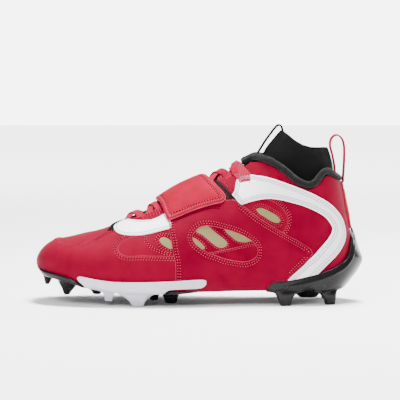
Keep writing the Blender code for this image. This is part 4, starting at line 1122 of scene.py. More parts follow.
def open_mesh(name, dark, light, pitch=1.5, turn=0.6):
    """Ribbed yellow mesh with dark gaps."""
    mat, nodes, links, out = shader(name, light, 0.75, spec=0.1, sheen=0.0)
    vec = chart_coords(nodes, links, turn)
    sep = nodes.new("ShaderNodeSeparateXYZ")
    links.new(vec, sep.inputs[0])
    rib = maths(nodes, links, "SINE", maths(nodes, links, "MULTIPLY", sep.outputs[0], 2 * math.pi / pitch))
    bar = maths(nodes, links, "SINE", maths(nodes, links, "MULTIPLY", sep.outputs[1], 2 * math.pi / (pitch * 0.6)))
    rib = maths(nodes, links, "MULTIPLY", maths(nodes, links, "ADD", rib, 1.0), 0.5)
    bar = maths(nodes, links, "MULTIPLY", maths(nodes, links, "ADD", bar, 1.0), 0.18)
    total = maths(nodes, links, "ADD", rib, bar)
    tc, mp = object_coords(nodes)
    links.new(tc.outputs["Object"], mp.inputs["Vector"])
    fuzz = noise(nodes, links, mp.outputs["Vector"], 1.8, 3.0)
    total = maths(nodes, links, "ADD", total, maths(nodes, links, "MULTIPLY", fuzz, 0.35))
    col = ramp(nodes, links, total, [(0.12, dark), (0.5, tuple(0.6 * c for c in light)), (1.0, light)])
    links.new(col, out.inputs["Base Color"])
    bump(nodes, links, out, total, 0.9, 0.0004)
    return mat


RED_D, RED_L = (0.100, 0.0001, 0.0085), (0.158, 0.0008, 0.0138)
RED_TINT, NO_TINT = (1.0, 0.10, 0.24), (1.0, 1.0, 1.0)
M_UPPER = nubuck("upper_nubuck", RED_D, RED_L)
M_STRAP = nubuck("strap_nubuck", (0.150, 0.0001, 0.0100), (0.225, 0.0006, 0.0160), 1.15,
                 tint=(1.0, 0.03, 0.16))
M_WING = leather("quarter_leather", (0.094, 0.0, 0.0088), (0.124, 0.0, 0.0112))
M_INNER = leather("window_leather", (0.086, 0.0, 0.0075), (0.118, 0.0, 0.0100), rough=(0.5, 0.65), spec=0.12)
# paler rim along free edges: the cut edge's colour with a painted highlight
M_EDGE_HIGHLIGHT = leather("cut_edge", (0.26, 0.018, 0.040), (0.38, 0.046, 0.075), rough=(0.6, 0.75), tint=NO_TINT)
M_WHITE = leather("white_overlay", (0.82, 0.815, 0.85), (0.90, 0.895, 0.93), rough=(0.34, 0.48), strength=0.14,
                  spec=0.4, tint=NO_TINT)
# red thread, much lighter than the panels: its own colour with a painted highlight
M_THREAD_LIT = nubuck("thread_red", (0.34, 0.020, 0.046), (0.50, 0.048, 0.084), 3.0, (0.5, 0.6))
# a darker copy of the red thread for the rows under the strap: painted shade
M_THREAD_SHADED = nubuck("thread_dark_red", (0.060, 0.0, 0.0040), (0.090, 0.0003, 0.0060), 3.0, (0.5, 0.6))
# near-black dots between the red stitches: painted shade of the needle holes
M_HOLE_SHADE = nubuck("needle_holes", (0.016, 0.0, 0.0010), (0.026, 0.0, 0.0016), 3.0, (0.7, 0.9))
M_THREAD_W = nubuck("thread_pale", (0.46, 0.42, 0.52), (0.62, 0.58, 0.68), 3.0, (0.5, 0.6), tint=NO_TINT)
# grey dots between the pale stitches on white: painted shade of the needle holes
M_GREY_HOLE_SHADE = nubuck("needle_holes_pale", (0.12, 0.11, 0.14), (0.19, 0.18, 0.22), 3.0, (0.7, 0.9), tint=NO_TINT)
M_KNIT = knit("black_knit", (0.0002, 0.0002, 0.0002), (0.0024, 0.0019, 0.0022), sheen=0.005)
M_FLEECE = fleece("fleece", (0.0007, 0.0006, 0.0007), (0.0085, 0.0076, 0.0080))
M_LACE = webbing("lace_weave", (0.125, 0.0010, 0.010), (0.280, 0.006, 0.028), 1.25, 0.9, tint=RED_TINT)
M_WEB_R = webbing("webbing_red", (0.140, 0.0020, 0.012), (0.300, 0.009, 0.032), 1.3, 0.9, tint=RED_TINT)
M_WEB_K = webbing("webbing_black", (0.0009, 0.0009, 0.0010), (0.0100, 0.0092, 0.0100), 1.3, 0.9)
M_DARK = moulded("dark_plate", (0.0030, 0.0026, 0.0028), (0.0062, 0.0054, 0.0058), rough=(0.16, 0.26), coat=0.05,
                 spec=0.12)
M_PALE = moulded("pale_plate", (0.37, 0.345, 0.395), (0.45, 0.42, 0.48), rough=(0.26, 0.4), coat=0.2)
M_MESH = open_mesh("yellow_mesh", (0.014, 0.013, 0.005), (0.215, 0.195, 0.085))
M_BOARD = nubuck("insole_cloth", (0.006, 0.006, 0.007), (0.016, 0.016, 0.017), 1.0, (0.8, 0.95), tint=NO_TINT)
M_VOLT = webbing("yellow_edge", (0.22, 0.17, 0.01), (0.42, 0.34, 0.04), 1.0, 0.6)
M_COARSE = webbing("coarse_webbing", (0.070, 0.0006, 0.006), (0.330, 0.016, 0.046), 2.3, 1.0, turn=0.7, tint=RED_TINT)


def gusset_mesh(name):
    """Black elastic with small red dots showing through."""
    mat, nodes, links, out = shader(name, (0.0030, 0.0030, 0.0036), 0.8, spec=0.06)
    vec = chart_coords(nodes, links, 0.8)
    v = nodes.new("ShaderNodeTexVoronoi")
    v.inputs["Scale"].default_value = 0.62
    v.inputs["Randomness"].default_value = 0.25
    links.new(vec, v.inputs["Vector"])
    col = ramp(nodes, links, v.outputs["Distance"], [(0.20, (0.16, 0.002, 0.010)), (0.30, (0.0030, 0.0030, 0.0036))])
    links.new(col, out.inputs["Base Color"])
    bump(nodes, links, out, v.outputs["Distance"], 0.7, 0.0003)
    return mat


M_GUSSET = gusset_mesh("gusset")


# ---------------------------------------------------------------- the shoe's own tables
# The same edges as the frame's, for the upper, its collar and throat.
def of_table(columns, rows, key="run"):
    return table_curves(columns, rows, key, monotone_spline)


COLLAR = ((47.0, 129.6), (52.0, 130.7), (56.1, 130.5), (61.6, 128.5), (69.9, 124.4), (78.1, 118.3),
          (85.0, 112.4), (91.4, 108.4), (98.7, 106.3), (104.2, 107.6), (110.1, 111.2),
          (116.0, 116.5), (122.6, 118.3), (131.5, 115.6), (145.0, 112.7), (159.0, 111.0))
ROLL = ((40.5, 0.0, 3.1), (41.6, 131.2, 3.1), (45.5, 133.7, 3.2), (53.5, 135.1, 3.3),
        (61.6, 132.8, 3.3), (69.9, 128.7, 3.3), (78.1, 122.8, 3.3), (85.0, 116.9, 3.3),
        (91.4, 112.7, 3.3), (98.7, 110.6, 3.3), (104.2, 112.0, 3.3), (110.1, 116.5, 3.2),
        (116.0, 121.6, 3.1), (122.6, 123.0, 3.0), (131.5, 119.9, 2.8), (145.0, 116.9, 2.6),
        (159.0, 115.0, 2.5))
THROAT = ((-81.0, 0.0), (-80.3, 4.0), (-78.6, 7.0), (-75.0, 9.6), (-66.0, 12.0), (-48.0, 13.5),
          (-20.0, 14.5), (10.0, 15.2), (47.0, 15.5))
collar_z = of_table(("run", "z"), COLLAR)["z"]
throat_gap = of_table(("run", "gap"), THROAT)["gap"]


def spread(low, high, shares):
    low, high = np.asarray(low, float), np.asarray(high, float)
    return low[:, None] + (high - low)[:, None] * np.asarray(shares)[None, :]


def upper_top(run, side):
    run = np.asarray(run, float)
    out = np.ones(run.shape)
    mid = (run > THROAT[0][0]) & (run <= 47.0)
    out[mid] = v_at_gap(run[mid], throat_gap(run[mid]), side)
    back = run > 47.0
    out[back] = v_at_z(run[back], collar_z(run[back]), side)
    return out


def shell_mesh(name, patches, near=0.02):
    """A closed shell between outer and inner grids, its rims closed. Each patch is (outer, inner, uv)."""
    verts, faces, uvs = [], [], []
    start = 0
    for outer, inner, uv in patches:
        r, c = outer.shape[:2]
        verts += [outer.reshape(-1, 3), inner.reshape(-1, 3)]
        uvs += [uv.reshape(-1, 2), uv.reshape(-1, 2)]
        faces.append(grid_faces(r, c, start))
        faces.append(grid_faces(r, c, start + r * c, flip=True))
        start += 2 * r * c
    made = add_mesh(name, np.concatenate(verts), np.concatenate(faces), np.concatenate(uvs))
    bm = bmesh.new()
    bm.from_mesh(made.data)
    bmesh.ops.remove_doubles(bm, verts=bm.verts, dist=near * MM)
    bmesh.ops.dissolve_degenerate(bm, dist=1e-7, edges=bm.edges)
    rims = [e for e in bm.edges if len(e.link_faces) == 1]
    if rims:
        # join each free outer loop to its inner loop
        loops, seen = [], set()
        links = {}
        for e in rims:
            for w in e.verts:
                links.setdefault(w, []).append(e)
        for e in rims:
            if e in seen:
                continue
            loop, todo = [], [e]
            while todo:
                q = todo.pop()
                if q in seen:
                    continue
                seen.add(q)
                loop.append(q)
                for w in q.verts:
                    todo += [k for k in links[w] if k not in seen]
            loops.append(loop)
        centres = [np.mean([np.array(w.co) for e in l for w in e.verts], axis=0) for l in loops]
        sizes = [len(l) for l in loops]
        used = set()
        for i in range(len(loops)):
            if i in used:
                continue
            best, far = None, 1e9
            for j in range(i + 1, len(loops)):
                if j in used or abs(sizes[i] - sizes[j]) > 0.2 * sizes[i] + 4:
                    continue
                d = np.linalg.norm(centres[i] - centres[j])
                if d < far:
                    best, far = j, d
            if best is not None:
                used |= {i, best}
                try:
                    bmesh.ops.bridge_loops(bm, edges=loops[i] + loops[best])
                except RuntimeError:
                    pass
    bmesh.ops.recalc_face_normals(bm, faces=bm.faces)
    bm.to_mesh(made.data)
    bm.free()
    made.data.polygons.foreach_set("use_smooth", np.ones(len(made.data.polygons), bool))
    crease_edges(made)
    return made


def chart_uv(run, v, side):
    au = CHARTS[side]
    i = np.clip(np.searchsorted(CHART_RUN, run) - 1, 0, len(CHART_RUN) - 2)
    j = np.interp(np.clip(v, 0, 1), CHART_V, np.arange(len(CHART_V)))
    j0 = np.clip(j.astype(int), 0, len(CHART_V) - 2)
    u = au.up[i, j0] * (1 - (j - j0)) + au.up[i, j0 + 1] * (j - j0)
    return np.stack([np.interp(run, CHART_RUN, au.a), u + np.clip(v, -1, 0) * 40.0], axis=-1)


UPPER_RUN = np.unique(np.concatenate([
    [-151, -150.9, -150.6, -150.2, -149.7, -149, -148.2, -147.2, -146],
    np.arange(-144.5, -82, 1.6), [-81.0, -80.8, -80.3, -79.5, -78.6, -77, -75], np.arange(-73, 47, 1.7), [47.0],
    np.arange(48.5, 98, 1.5), np.arange(99, 159, 1.5), [159.0]]))


def soft_folds(run, v, side):
    """Low hollows where the upper bends behind the toes."""
    x = run
    fold = np.zeros(np.shape(x))
    for at, deep, wide, low in ((-96.0, 0.30, 4.2, 0.55), (-88.0, 0.20, 3.4, 0.62)):
        fold -= deep * np.exp(-((x - at - 10 * (0.8 - v)) / wide) ** 2) * np.clip((v - low) * 6, 0, 1)
    return fold


def upper_fine(side):
    run = UPPER_RUN
    top = upper_top(run, side)
    v = np.concatenate([spread(np.full(run.shape, -0.28), np.zeros(run.shape), (0.0, 0.5)),
                        spread(np.zeros(run.shape), np.full(run.shape, LOW), np.linspace(0, 1, 13))[:, :-1],
                        spread(np.full(run.shape, LOW), top, np.linspace(0, 1, 49))], axis=1)
    v[:, 0] = np.where((run > -136) & (run < -14) | (run > 67), -0.28, -1.0)
    # rows under the foot: every row stops at the same place, short of the middle
    v[:, 0] = -0.28
    r = np.repeat(run[:, None], v.shape[1], axis=1)
    off = soft_folds(r, v, side)
    return skin(r, v, side, off), skin(r, v, side, -2.0 + 0 * off), chart_uv(r, v, side)


base_upper = shell_mesh("upper_shell", [upper_fine(s) for s in (-1, 1)])
dress(base_upper, M_UPPER, "red_synthetic", "upper")


def px(points, off, side=-1):
    """Chart places of picture points, traced on the outer side and carried to either side."""
    rv = across(trace(points, off), side)
    return CHARTS[side].to_au(rv[:, 0], rv[:, 1])


def rv_au(run, v, side):
    return CHARTS[side].to_au(np.asarray(run, float), np.asarray(v, float))


def sewn(kind, line, rows, place, height, ends=True, **more):
    """Stitch rows at distances inside an open stretch of an edge."""
    for g in rows:
        moved = inset(line, g, closed=False)
        s = np.concatenate([[0], np.cumsum(np.linalg.norm(np.diff(moved, axis=0), axis=1))])
        if ends:
            keep = (s > g * 0.9) & (s < s[-1] - g * 0.9)
            moved = moved[keep]
        if len(moved) > 3:
            stitch_row(kind, moved, place, height, closed=False, **more)


# ---------------------------------------------------------------- panels of the upper
SEAM = [(61.0, 241.6), (65.9, 242.8), (71.5, 243.4), (77.4, 243.2), (85, 241.7), (92.7, 238.3), (100.3, 234.4),
        (108, 231), (111.8, 229.5), (118, 227.5), (130, 227.5), (141, 230)]
CUT_OUT = [(141, 230), (139.5, 234.2), (131.3, 237.4), (124.2, 240.6), (119.1, 245), (117.9, 248.9), (119.1, 252),
           (122.3, 254.6), (128.7, 255.9), (141.5, 255.6), (157.4, 255.9), (173.3, 256.2), (179, 256.4)]
VENT_ARC = [(145.2, 231.0), (144.6, 236.1), (144.6, 240.6), (147.2, 245), (151, 248.9), (157.4, 252),
            (163.8, 254.3), (171.0, 255.4)]
VENT_OVAL = [(159.2, 240.2), (160.8, 237.6), (164.0, 236.9), (168.0, 238.4), (171.5, 241.2), (174.5, 245.0),
             (174.0, 248.4), (170.0, 248.6), (165.5, 246.6), (161.5, 243.6)]
FRONT_WHITE = [(113.7, 225.9), (115.9, 223.4), (121, 220.2), (126.5, 218.5), (133, 219.2), (140.8, 219.9),
               (148.5, 219.5), (156.1, 217.6), (162.5, 214.1), (165.5, 213.0), (171.0, 221.0), (172.0, 228.4),
               (167.6, 228.5), (159.9, 230.4), (148.5, 233.3), (135.7, 234.8), (125.5, 234.5), (117.9, 232.3),
               (114.3, 229.1)]
WING_FRONT = [(167.0, 218.0), (168.9, 228.5), (171.4, 240.6), (173.3, 253.3), (175.2, 261.5), (175.7, 272),
              (175.7, 286.5)]
WING_REAR_LOW = [(288.6, 280.5), (294.6, 273.0), (303.6, 264.6), (309.0, 258.8), (312.4, 255.2)]
WING_REAR_TOP = [(312.4, 255.2), (312.3, 252.2), (309.4, 248.2), (302.5, 243.8), (297, 240.4), (281.3, 231.9),
                 (270.2, 225.2), (256.8, 216.3), (244.8, 206.7), (237.1, 200.6)]
WING_TOP = [(237.1, 200.6), (233.3, 199.4), (224.9, 199.6), (216, 198.6), (206, 200.0), (192, 204.5), (180, 209.5),
            (170.5, 214.0), (167.0, 218.0)]
BIG_WINDOW = [(192.8, 235.3), (194.7, 231.5), (198.5, 227.7), (204.2, 225.7), (211.9, 226.1), (220.8, 228),
              (231, 230.8), (240.6, 234.3), (248.9, 239.1), (255.3, 244.2), (257.8, 250), (257.5, 254.4),
              (254.6, 258.3), (249.5, 260.8), (243.8, 261.8), (234.2, 260.8), (224.6, 258.6), (215.7, 255.4),
              (208.1, 252.8), (201.7, 248.7), (195.3, 243.6), (192.8, 239.1)]
WINDOW_LAYER = [(188, 236), (191, 228), (198, 222), (208, 220), (224, 223), (240, 229), (253, 236), (262, 246),
                (262, 256), (256, 264), (244, 267), (228, 264), (210, 258), (196, 250), (189, 243)]
SLOT_A = [(189.5, 237.2), (194.5, 238.0), (199, 241.2), (203.5, 245.2), (205, 247.8), (202.5, 249.6), (196, 250),
          (189.5, 245)]
SLOT_B = [(195.0, 229.8), (196.8, 227.6), (201, 225.6), (207, 225.2), (211.5, 229.0), (217, 233.6), (223.5, 238.6),
          (227, 242), (227.3, 245), (224, 247.2), (219.5, 247.5), (215, 245.2), (208, 239.4), (201, 233.8),
          (196, 231.6)]
SLOT_C = [(224.5, 229.6), (227, 226.8), (243, 231.0), (253, 238.0), (251.4, 241.0), (246.5, 242.2), (241, 242.0),
          (236, 240.2), (231.5, 236.7), (227.3, 233.2)]
LOWER_LAYER = [(205, 253.6), (216, 251.6), (230, 248.8), (243, 245.9), (254.5, 243.9), (263, 243.5), (264, 256),
               (257, 265.5), (244, 268), (228, 265), (210, 260)]
QUARTER_CURVE = [(262.0, 197.0), (268.4, 199.7), (276.4, 203.8), (283.6, 210), (288, 217.1), (287.6, 223.4),
                 (284.5, 229.6), (280.0, 236.0)]
QUARTER_HIDDEN = [(280.0, 236.0), (296, 245.0), (304.0, 251.5), (305.0, 258.0), (300, 266), (318, 262), (330, 252),
                  (339.5, 240), (340, 226), (333, 213.5), (318, 204.5), (300, 198), (282, 193), (262.0, 197.0)]
SMALL_FLOOR = [(242, 203), (252, 196), (266, 193), (280, 197), (292, 208), (297, 219), (294, 230), (286, 238),
               (270, 229), (256, 220), (246, 210)]
SMALL_WINDOW = [(255.9, 209.1), (260.4, 207.8), (265.5, 209.4), (270.2, 211.8), (275, 214.4), (278.6, 217.4),
                (280.7, 220.7), (278.6, 223.0), (275, 222.8), (269.0, 220.0), (263.9, 216.6), (259.0, 213.6)]
BAND_OUTER = [(240.6, 205.0), (237.6, 201.0), (231.8, 194.4), (234.5, 190.4), (235.4, 184.1), (237.1, 178.8),
              (241.6, 174.7), (247.9, 174.1), (256.8, 175.2), (270.2, 177.9), (283.6, 182.3), (297, 187.2),
              (310.4, 192.6), (319.3, 197), (328.2, 202), (337.1, 210), (343.4, 219.8), (346.1, 230.5),
              (345.8, 239.3), (342.7, 247.3), (336.4, 256.3), (329.3, 263.4), (322.1, 270.5), (316.8, 275.9),
              (311, 282)]
BAND_INNER = [(284, 284), (288.2, 279.5), (295.4, 273.2), (304.3, 265.2), (313.2, 256.3), (320.4, 248.2),
              (327.5, 240.2), (332, 233), (332.9, 228), (331.8, 225.2), (326.4, 218), (317.5, 212.2),
              (305.9, 206.9), (292.5, 202.9), (279.1, 199.7), (265.7, 198.8), (252.3, 201.1), (240.6, 205.0)]

SIDES = ((-1, "lateral"), (1, "medial"))


def mudguard(side):
    place = side_place(side)
    seam = np.concatenate([rv_au([-133.0], [1.0], side), px(SEAM, 0.9, side)])
    cut = px(CUT_OUT, 0.9, side)
    rear_rv = across(trace([(179, 256.4), (179, 270), (179, 284)], 0.9), side)
    rear = CHARTS[side].to_au(rear_rv[:, 0], rear_rv[:, 1])
    end_run = rear_rv[-1, 0]
    rear = np.concatenate([rear, rv_au([end_run], [0.03], side)])
    low_run = np.concatenate([np.linspace(end_run, -138, 50), [-142, -145, -147.5, -149, -150, -150.6, -151]])
    low = rv_au(low_run, np.full(low_run.shape, 0.03), side)
    low[-1] = (0.0, 0.0)
    ridge_run = np.array([-151, -150.9, -150.6, -150, -149, -147.5, -145, -142, -139, -136, -133])
    ridge = rv_au(ridge_run, np.ones(ridge_run.shape), side)
    ridge[0] = (0.0, 0.0)
    pts, kinds, rows = edge_loop((seam, 0), (cut, 0), (rear, 1), (low, 1), (ridge, 2))
    made = panel("mudguard", pts, [], place, thick=0.9, base=0.0, soft=0.7, grooves=(1.9, 3.9), depth=0.10,
                 kinds=kinds, merge=False, pale_rim=True,
                 relief=lambda p, d: soft_folds(np.interp(p[:, 0], CHARTS[side].a, CHART_RUN),
                                                CHARTS[side].from_au(p)[1], side))
    for line in (rows[0], rows[1]):
        sewn("red", line, (1.9, 3.9), place, 0.86)
    return made


guard = together("mudguard", mudguard(-1), mudguard(1))
dress(guard, M_UPPER, "red_synthetic")


for side, word in SIDES:
    place = side_place(side)
    # recess behind the cut-out, with its oval opening
    oval = smooth_line(px(VENT_OVAL, 0.5, side))
    floor_line = smooth_line(px([(112, 240), (111, 251), (117, 258), (128, 260.5), (180, 261), (181, 240),
                                 (177, 224), (165, 222), (148, 225), (128, 228)], 0.3, side))
    vent = panel("vent_layer_" + word, floor_line, [oval], place, thick=0.5, base=0.0, soft=0.4, depth=0.08,
                 grooves=(1.7,))
    dress(vent, M_UPPER, "red_synthetic")
    mesh_line = smooth_line(px([(155, 240), (158, 233), (166, 232), (178, 240), (180, 252), (172, 253),
                                (160, 249)], 0.1, side))
    vm = panel("vent_mesh_" + word, mesh_line, [], place, thick=0.22, base=-0.05, soft=0.2)
    dress(vm, M_MESH, "mesh_yellow")
    for g in (1.7, 3.6):
        ring = inset(left_turning(oval), -g)
        stitch_row("red", ring, place, 0.50)
    arc = smooth_line(px(VENT_ARC, 0.5, side), closed=False)
    for g in (0.0, 2.0):
        stitch_row("red", inset(arc, g, closed=False), place, 0.50, closed=False)

    # front white overlay
    line = left_turning(smooth_line(px(FRONT_WHITE, 1.8, side)))
    made = panel("front_overlay_" + word, line, [], place, thick=1.15, base=0.65, soft=0.8, grooves=(2.4,),
                 depth=0.14, sink=0.8)
    dress(made, M_WHITE, "white_overlay")
    stitch_row("white", inset(line, 2.4), place, 1.72)

    # smooth quarter with the big window
    hole = smooth_line(px(BIG_WINDOW, 1.8, side))
    front, top = px(WING_FRONT, 1.8, side), px(WING_TOP, 1.8, side)
    rear_top, rear_low = px(WING_REAR_TOP, 1.8, side), px(WING_REAR_LOW, 1.8, side)
    fr = across(trace(WING_FRONT[-1:], 1.8), side)
    rr = across(trace(WING_REAR_LOW[:1], 1.8), side)
    low_run = np.linspace(fr[0, 0], rr[0, 0] - 4.0, 40)
    low = np.concatenate([front[-1:], rv_au(low_run, np.full(low_run.shape, 0.03), side), rear_low[:1]])
    pts, kinds, rows = edge_loop((front, 0), (low, 1), (rear_low, 0), (rear_top, 0), (top, 0))
    wing = panel("quarter_" + word + "_leather", pts, [hole], place, thick=1.5, base=0.3, soft=0.9,
                 grooves=(2.1, 4.3), depth=0.13, kinds=kinds, sink=0.45, pale_rim=True)
    dress(wing, M_WING, "red_leather", "quarter_" + word)
    for k in (0, 2, 3):
        sewn("red", rows[k], (2.1, 4.3), place, 1.75)
    limit = px([(221.0, 199.8)], 1.8, side)[0, 0]
    # these rows lie under the strap and take the darker thread: painted shade of the strap
    sewn("dark", rows[4], (7.2, 9.4), place, 1.82, ends=False, skip=lambda c, a=limit: c[:, 0] > a)
    ring = left_turning(hole)
    stitch_row("red", inset(ring, -2.1), place, 1.75)
    stitch_row("red", inset(ring, -4.3), place, 1.75)

    # layer seen in the big window
    slots = [smooth_line(px(s, 0.7, side)) for s in (SLOT_A, SLOT_B, SLOT_C)]
    layer = panel("window_layer_" + word, smooth_line(px(WINDOW_LAYER, 0.7, side)), slots, place, thick=0.55,
                  base=0.1, soft=0.5, grooves=(1.5,), depth=0.10, pale_rim=True)
    dress(layer, M_INNER, "red_leather")
    for s in slots:
        stitch_row("red", inset(left_turning(s), -1.5), place, 0.62, pitch=2.3, length=1.15, wide=0.34)
    lower = left_turning(smooth_line(px(LOWER_LAYER, 1.0, side)))
    made = panel("window_lower_" + word, lower, [], place, thick=0.5, base=0.5, soft=0.45, grooves=(1.6,), depth=0.1,
                 pale_rim=True)
    dress(made, M_INNER, "red_leather")
    stitch_row("red", inset(lower, 1.6), place, 0.98, pitch=2.3, length=1.15, wide=0.34)
    made = panel("window_mesh_" + word, smooth_line(px([(186, 236), (190, 225), (200, 219), (226, 221), (250, 231),
                 (262, 246), (250, 252), (230, 254), (205, 254), (190, 248)], 0.1, side)), [], place,
                 thick=0.25, base=-0.06, soft=0.2)
    dress(made, M_MESH, "mesh_yellow")

    # rear of the quarter behind the small window, and the window's floor
    pts, kinds, rows = edge_loop((px(QUARTER_CURVE, 0.8, side), 0), (px(QUARTER_HIDDEN, 0.8, side), 1))
    made = panel("quarter_rear_" + word, pts, [], place, thick=0.75, base=0.05, soft=0.6, grooves=(1.9, 3.9),
                 depth=0.1, kinds=kinds, pale_rim=True)
    dress(made, M_WING, "red_leather")
    sewn("red", rows[0], (1.9, 3.9), place, 0.78)
    small = smooth_line(px(SMALL_WINDOW, 0.5, side))
    made = panel("small_floor_" + word, smooth_line(px(SMALL_FLOOR, 0.4, side)), [small], place, thick=0.42,
                 base=0.0, soft=0.4, grooves=(1.7,), depth=0.08)
    dress(made, M_UPPER, "red_leather")
    for g in (1.7, 3.6):
        stitch_row("red", inset(left_turning(small), -g), place, 0.44, pitch=2.3, length=1.15, wide=0.34)
    made = panel("small_mesh_" + word, smooth_line(px([(252, 207), (260, 203), (272, 207), (283, 216), (285, 224),
                 (278, 227), (264, 221), (254, 213)], 0.1, side)), [], place, thick=0.2, base=-0.05, soft=0.2)
    dress(made, M_MESH, "mesh_yellow")

    # the white band round the ankle
    pts, kinds, rows = edge_loop((px(BAND_OUTER, 1.7, side), 0), (px([BAND_OUTER[-1], BAND_INNER[0]], 1.7, side), 1),
                                 (px(BAND_INNER, 1.7, side), 0))
    made = panel("ankle_band_" + word, pts, [], place, thick=1.15, base=0.6, soft=0.8, grooves=(2.0, 3.9), depth=0.13,
                 kinds=kinds, sink=0.7)
    dress(made, M_WHITE, "white_overlay")
    for k in (0, 2):
        sewn("white", rows[k], (2.0, 3.9), place, 1.68, ends=False)


# ---------------------------------------------------------------- eyestays, gusset and webbing
EYESTAY_REAR = [(216.8, 180.0), (217.2, 177.0), (220.0, 174.8), (225, 173.6), (232, 170.5), (240, 171.5),
                (246, 178), (243, 190), (238, 197), (231.6, 193.8)]
GUSSET = [(211, 178), (216.0, 180.6), (231.0, 194.6), (246.5, 208.6), (241, 210), (226, 205), (216, 198), (209, 187)]
GUSSET_TAPE = [(214.6, 180.6), (216.4, 179.4), (231.6, 193.0), (240.6, 201.6), (246.0, 207.0), (244.6, 208.4),
               (230.2, 195.0)]
EYESTAY_FRONT = [(140.0, 221.0), (141.6, 216.5), (143.6, 213.2), (149.5, 210.6), (156.5, 208.2), (162.5, 206.8),
                 (167, 209), (169, 220), (160, 224), (148, 225)]
TAPE_LOOP = [(228.6, 168.9), (233.5, 165.0), (238.5, 161.1), (243.4, 166.0), (250.4, 173.4), (251, 181),
             (240, 183), (236.2, 178.0), (232.2, 173.0)]

for side, word in SIDES:
    place = side_place(side)
    line = left_turning(smooth_line(px(GUSSET, 0.3, side)))
    made = panel("gusset_" + word, line, [], place, thick=0.35, base=0.0, soft=0.3, grid=1.6)
    dress(made, M_GUSSET, "black_knit")
    line = left_turning(smooth_line(px(EYESTAY_REAR, 1.0, side)))
    made = panel("eyestay_rear_" + word, line, [], place, thick=0.85, base=0.1, soft=0.6, grooves=(1.9,), depth=0.08)
    dress(made, M_UPPER, "red_synthetic")
    for g in (1.7, 3.3):
        row = inset(line, g)
        stitch_row("red", row, place, 0.92, pitch=2.4,
                   skip=lambda c, s=side: CHARTS[s].from_au(c)[0] > 26.0)
    line = left_turning(smooth_line(px(GUSSET_TAPE, 0.9, side), step=0.8))
    made = panel("gusset_binding_" + word, line, [], place, thick=0.5, base=0.3, soft=0.4, grid=1.2)
    dress(made, M_WEB_K, "webbing_black")
    line = left_turning(smooth_line(px(EYESTAY_FRONT, 0.8, side)))
    made = panel("eyestay_front_" + word, line, [], place, thick=0.75, base=0.05, soft=0.6, depth=0.08)
    dress(made, M_UPPER, "red_synthetic")
    for path in ([(143.4, 218.4), (144.6, 215.2), (149.5, 213.0), (156.5, 210.8), (162, 209.4)],
                 [(146.6, 219.6), (148.0, 216.8), (152, 215.2), (158, 213.2), (164, 211.6)]):
        stitch_row("red", smooth_line(px(path, 0.8, side), closed=False), place, 0.82, closed=False)
    line = left_turning(smooth_line(px(TAPE_LOOP, 1.8, side), corner=30))
    made = panel("lace_webbing_" + word, line, [], place, thick=1.0, base=0.85, soft=0.5, grid=1.6, sink=0.9)
    dress(made, M_COARSE, "lace")

    # the end of the tongue, seen before the white overlay
    line = left_turning(smooth_line(px([(107.6, 229.6), (110.0, 226.4), (113.6, 223.0), (118.6, 220.6), (121.0, 224.0),
                                        (117.0, 229.0), (112.0, 231.0)], 1.1, side), step=0.8))
    made = panel("tongue_end_" + word, line, [], place, thick=0.45, base=0.62, soft=0.4, grid=1.4, sink=0.6)
    dress(made, M_KNIT, "black_knit")

# ---------------------------------------------------------------- strap
STRAP_OFF = ((-60.0, 2.2), (-36.0, 2.2), (-29.0, 2.4), (-21.0, 2.8), (-13.0, 3.4), (-6.0, 4.0), (0.0, 4.25), (7.0, 4.0),
             (15.0, 3.3), (25.0, 2.9), (38.0, 2.8), (70.0, 2.8))


def strap_base(p):
    s = np.array(STRAP_OFF)
    return np.interp(p[:, 1], s[:, 0], s[:, 1])


def px_top(points, off):
    rv = trace(points, off)
    return np.stack([rv[:, 0], -CHARTS[-1].to_s(rv[:, 0], rv[:, 1])], axis=1)


STRAP_FRONT = [(160.2, 202.6), (163.4, 210.3), (166.4, 217.4)]
STRAP_LOW = [(168.9, 219.0), (178.1, 215.4), (192.1, 209.6), (206.1, 205.0), (216.6, 202.4), (222.3, 200.9)]
STRAP_REAR = [(225.2, 198.2), (225.0, 194.6), (222.3, 190.3), (216.6, 184.2), (211.0, 178.6)]
strap_line = np.concatenate([
    [(-32.5, 64.0), (-34.0, 52.0), (-35.5, 38.0), (-37.0, 25.0), (-38.0, 15.0), (-38.4, 7.0), (-38.4, 0.0)],
    px_top(STRAP_FRONT, 4.8), px_top(STRAP_LOW, 4.8), px_top(STRAP_REAR, 4.8),
    [(5.0, 0.0), (2.4, 7.0), (0.2, 15.0), (-1.2, 25.0), (-1.5, 38.0), (-1.0, 52.0), (0.0, 64.0)]])
strap_edge = left_turning(smooth_line(strap_line, step=1.1, corner=50))
strap = panel("strap_padded", strap_edge, [], top_place, thick=2.35, base=strap_base, soft=1.5, grid=2.2,
              grooves=(3.9,), depth=0.35, crown=0.75, sink=0.0, pale_rim=True,
              relief=lambda p, d: 0.16 * np.sin(p[:, 0] * 0.31 + 1.0) * np.sin(p[:, 1] * 0.23 + 0.4)
              * np.clip(d / 6, 0, 1))
dress(strap, M_STRAP, "red_synthetic", "strap")
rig.padded(strap, 0.5)


def zigzag(kind, line, place, height, d0, d1, pitch=1.9, closed=True, wide=0.30, keep=None):
    """Threads across an edge, from d0 to d1 inside it."""
    a, b = inset(line, d0, closed), inset(line, d1, closed)
    s = np.concatenate([[0], np.cumsum(np.linalg.norm(np.diff(line, axis=0), axis=1))])
    for at in np.arange(pitch, s[-1] - pitch, pitch):
        p = np.array([np.interp(at, s, a[:, k]) for k in (0, 1)])
        q = np.array([np.interp(at + 0.75, s, b[:, k]) for k in (0, 1)])
        if keep is not None and not keep(p):
            continue
        c = p + (q - p) * np.linspace(0, 1, 5)[:, None]
        THREADS.setdefault(kind, []).append((c, place, height, wide))


def strap_top(p):
    return strap_base(p.reshape(-1, 2)).reshape(p.shape[:-1]) + 2.35


zigzag("red", strap_edge, top_place, strap_top, 1.5, 3.7, 2.05)
stitch_row("red", inset(strap_edge, 4.4), top_place, lambda p: strap_top(p) + 0.22, pitch=2.5)


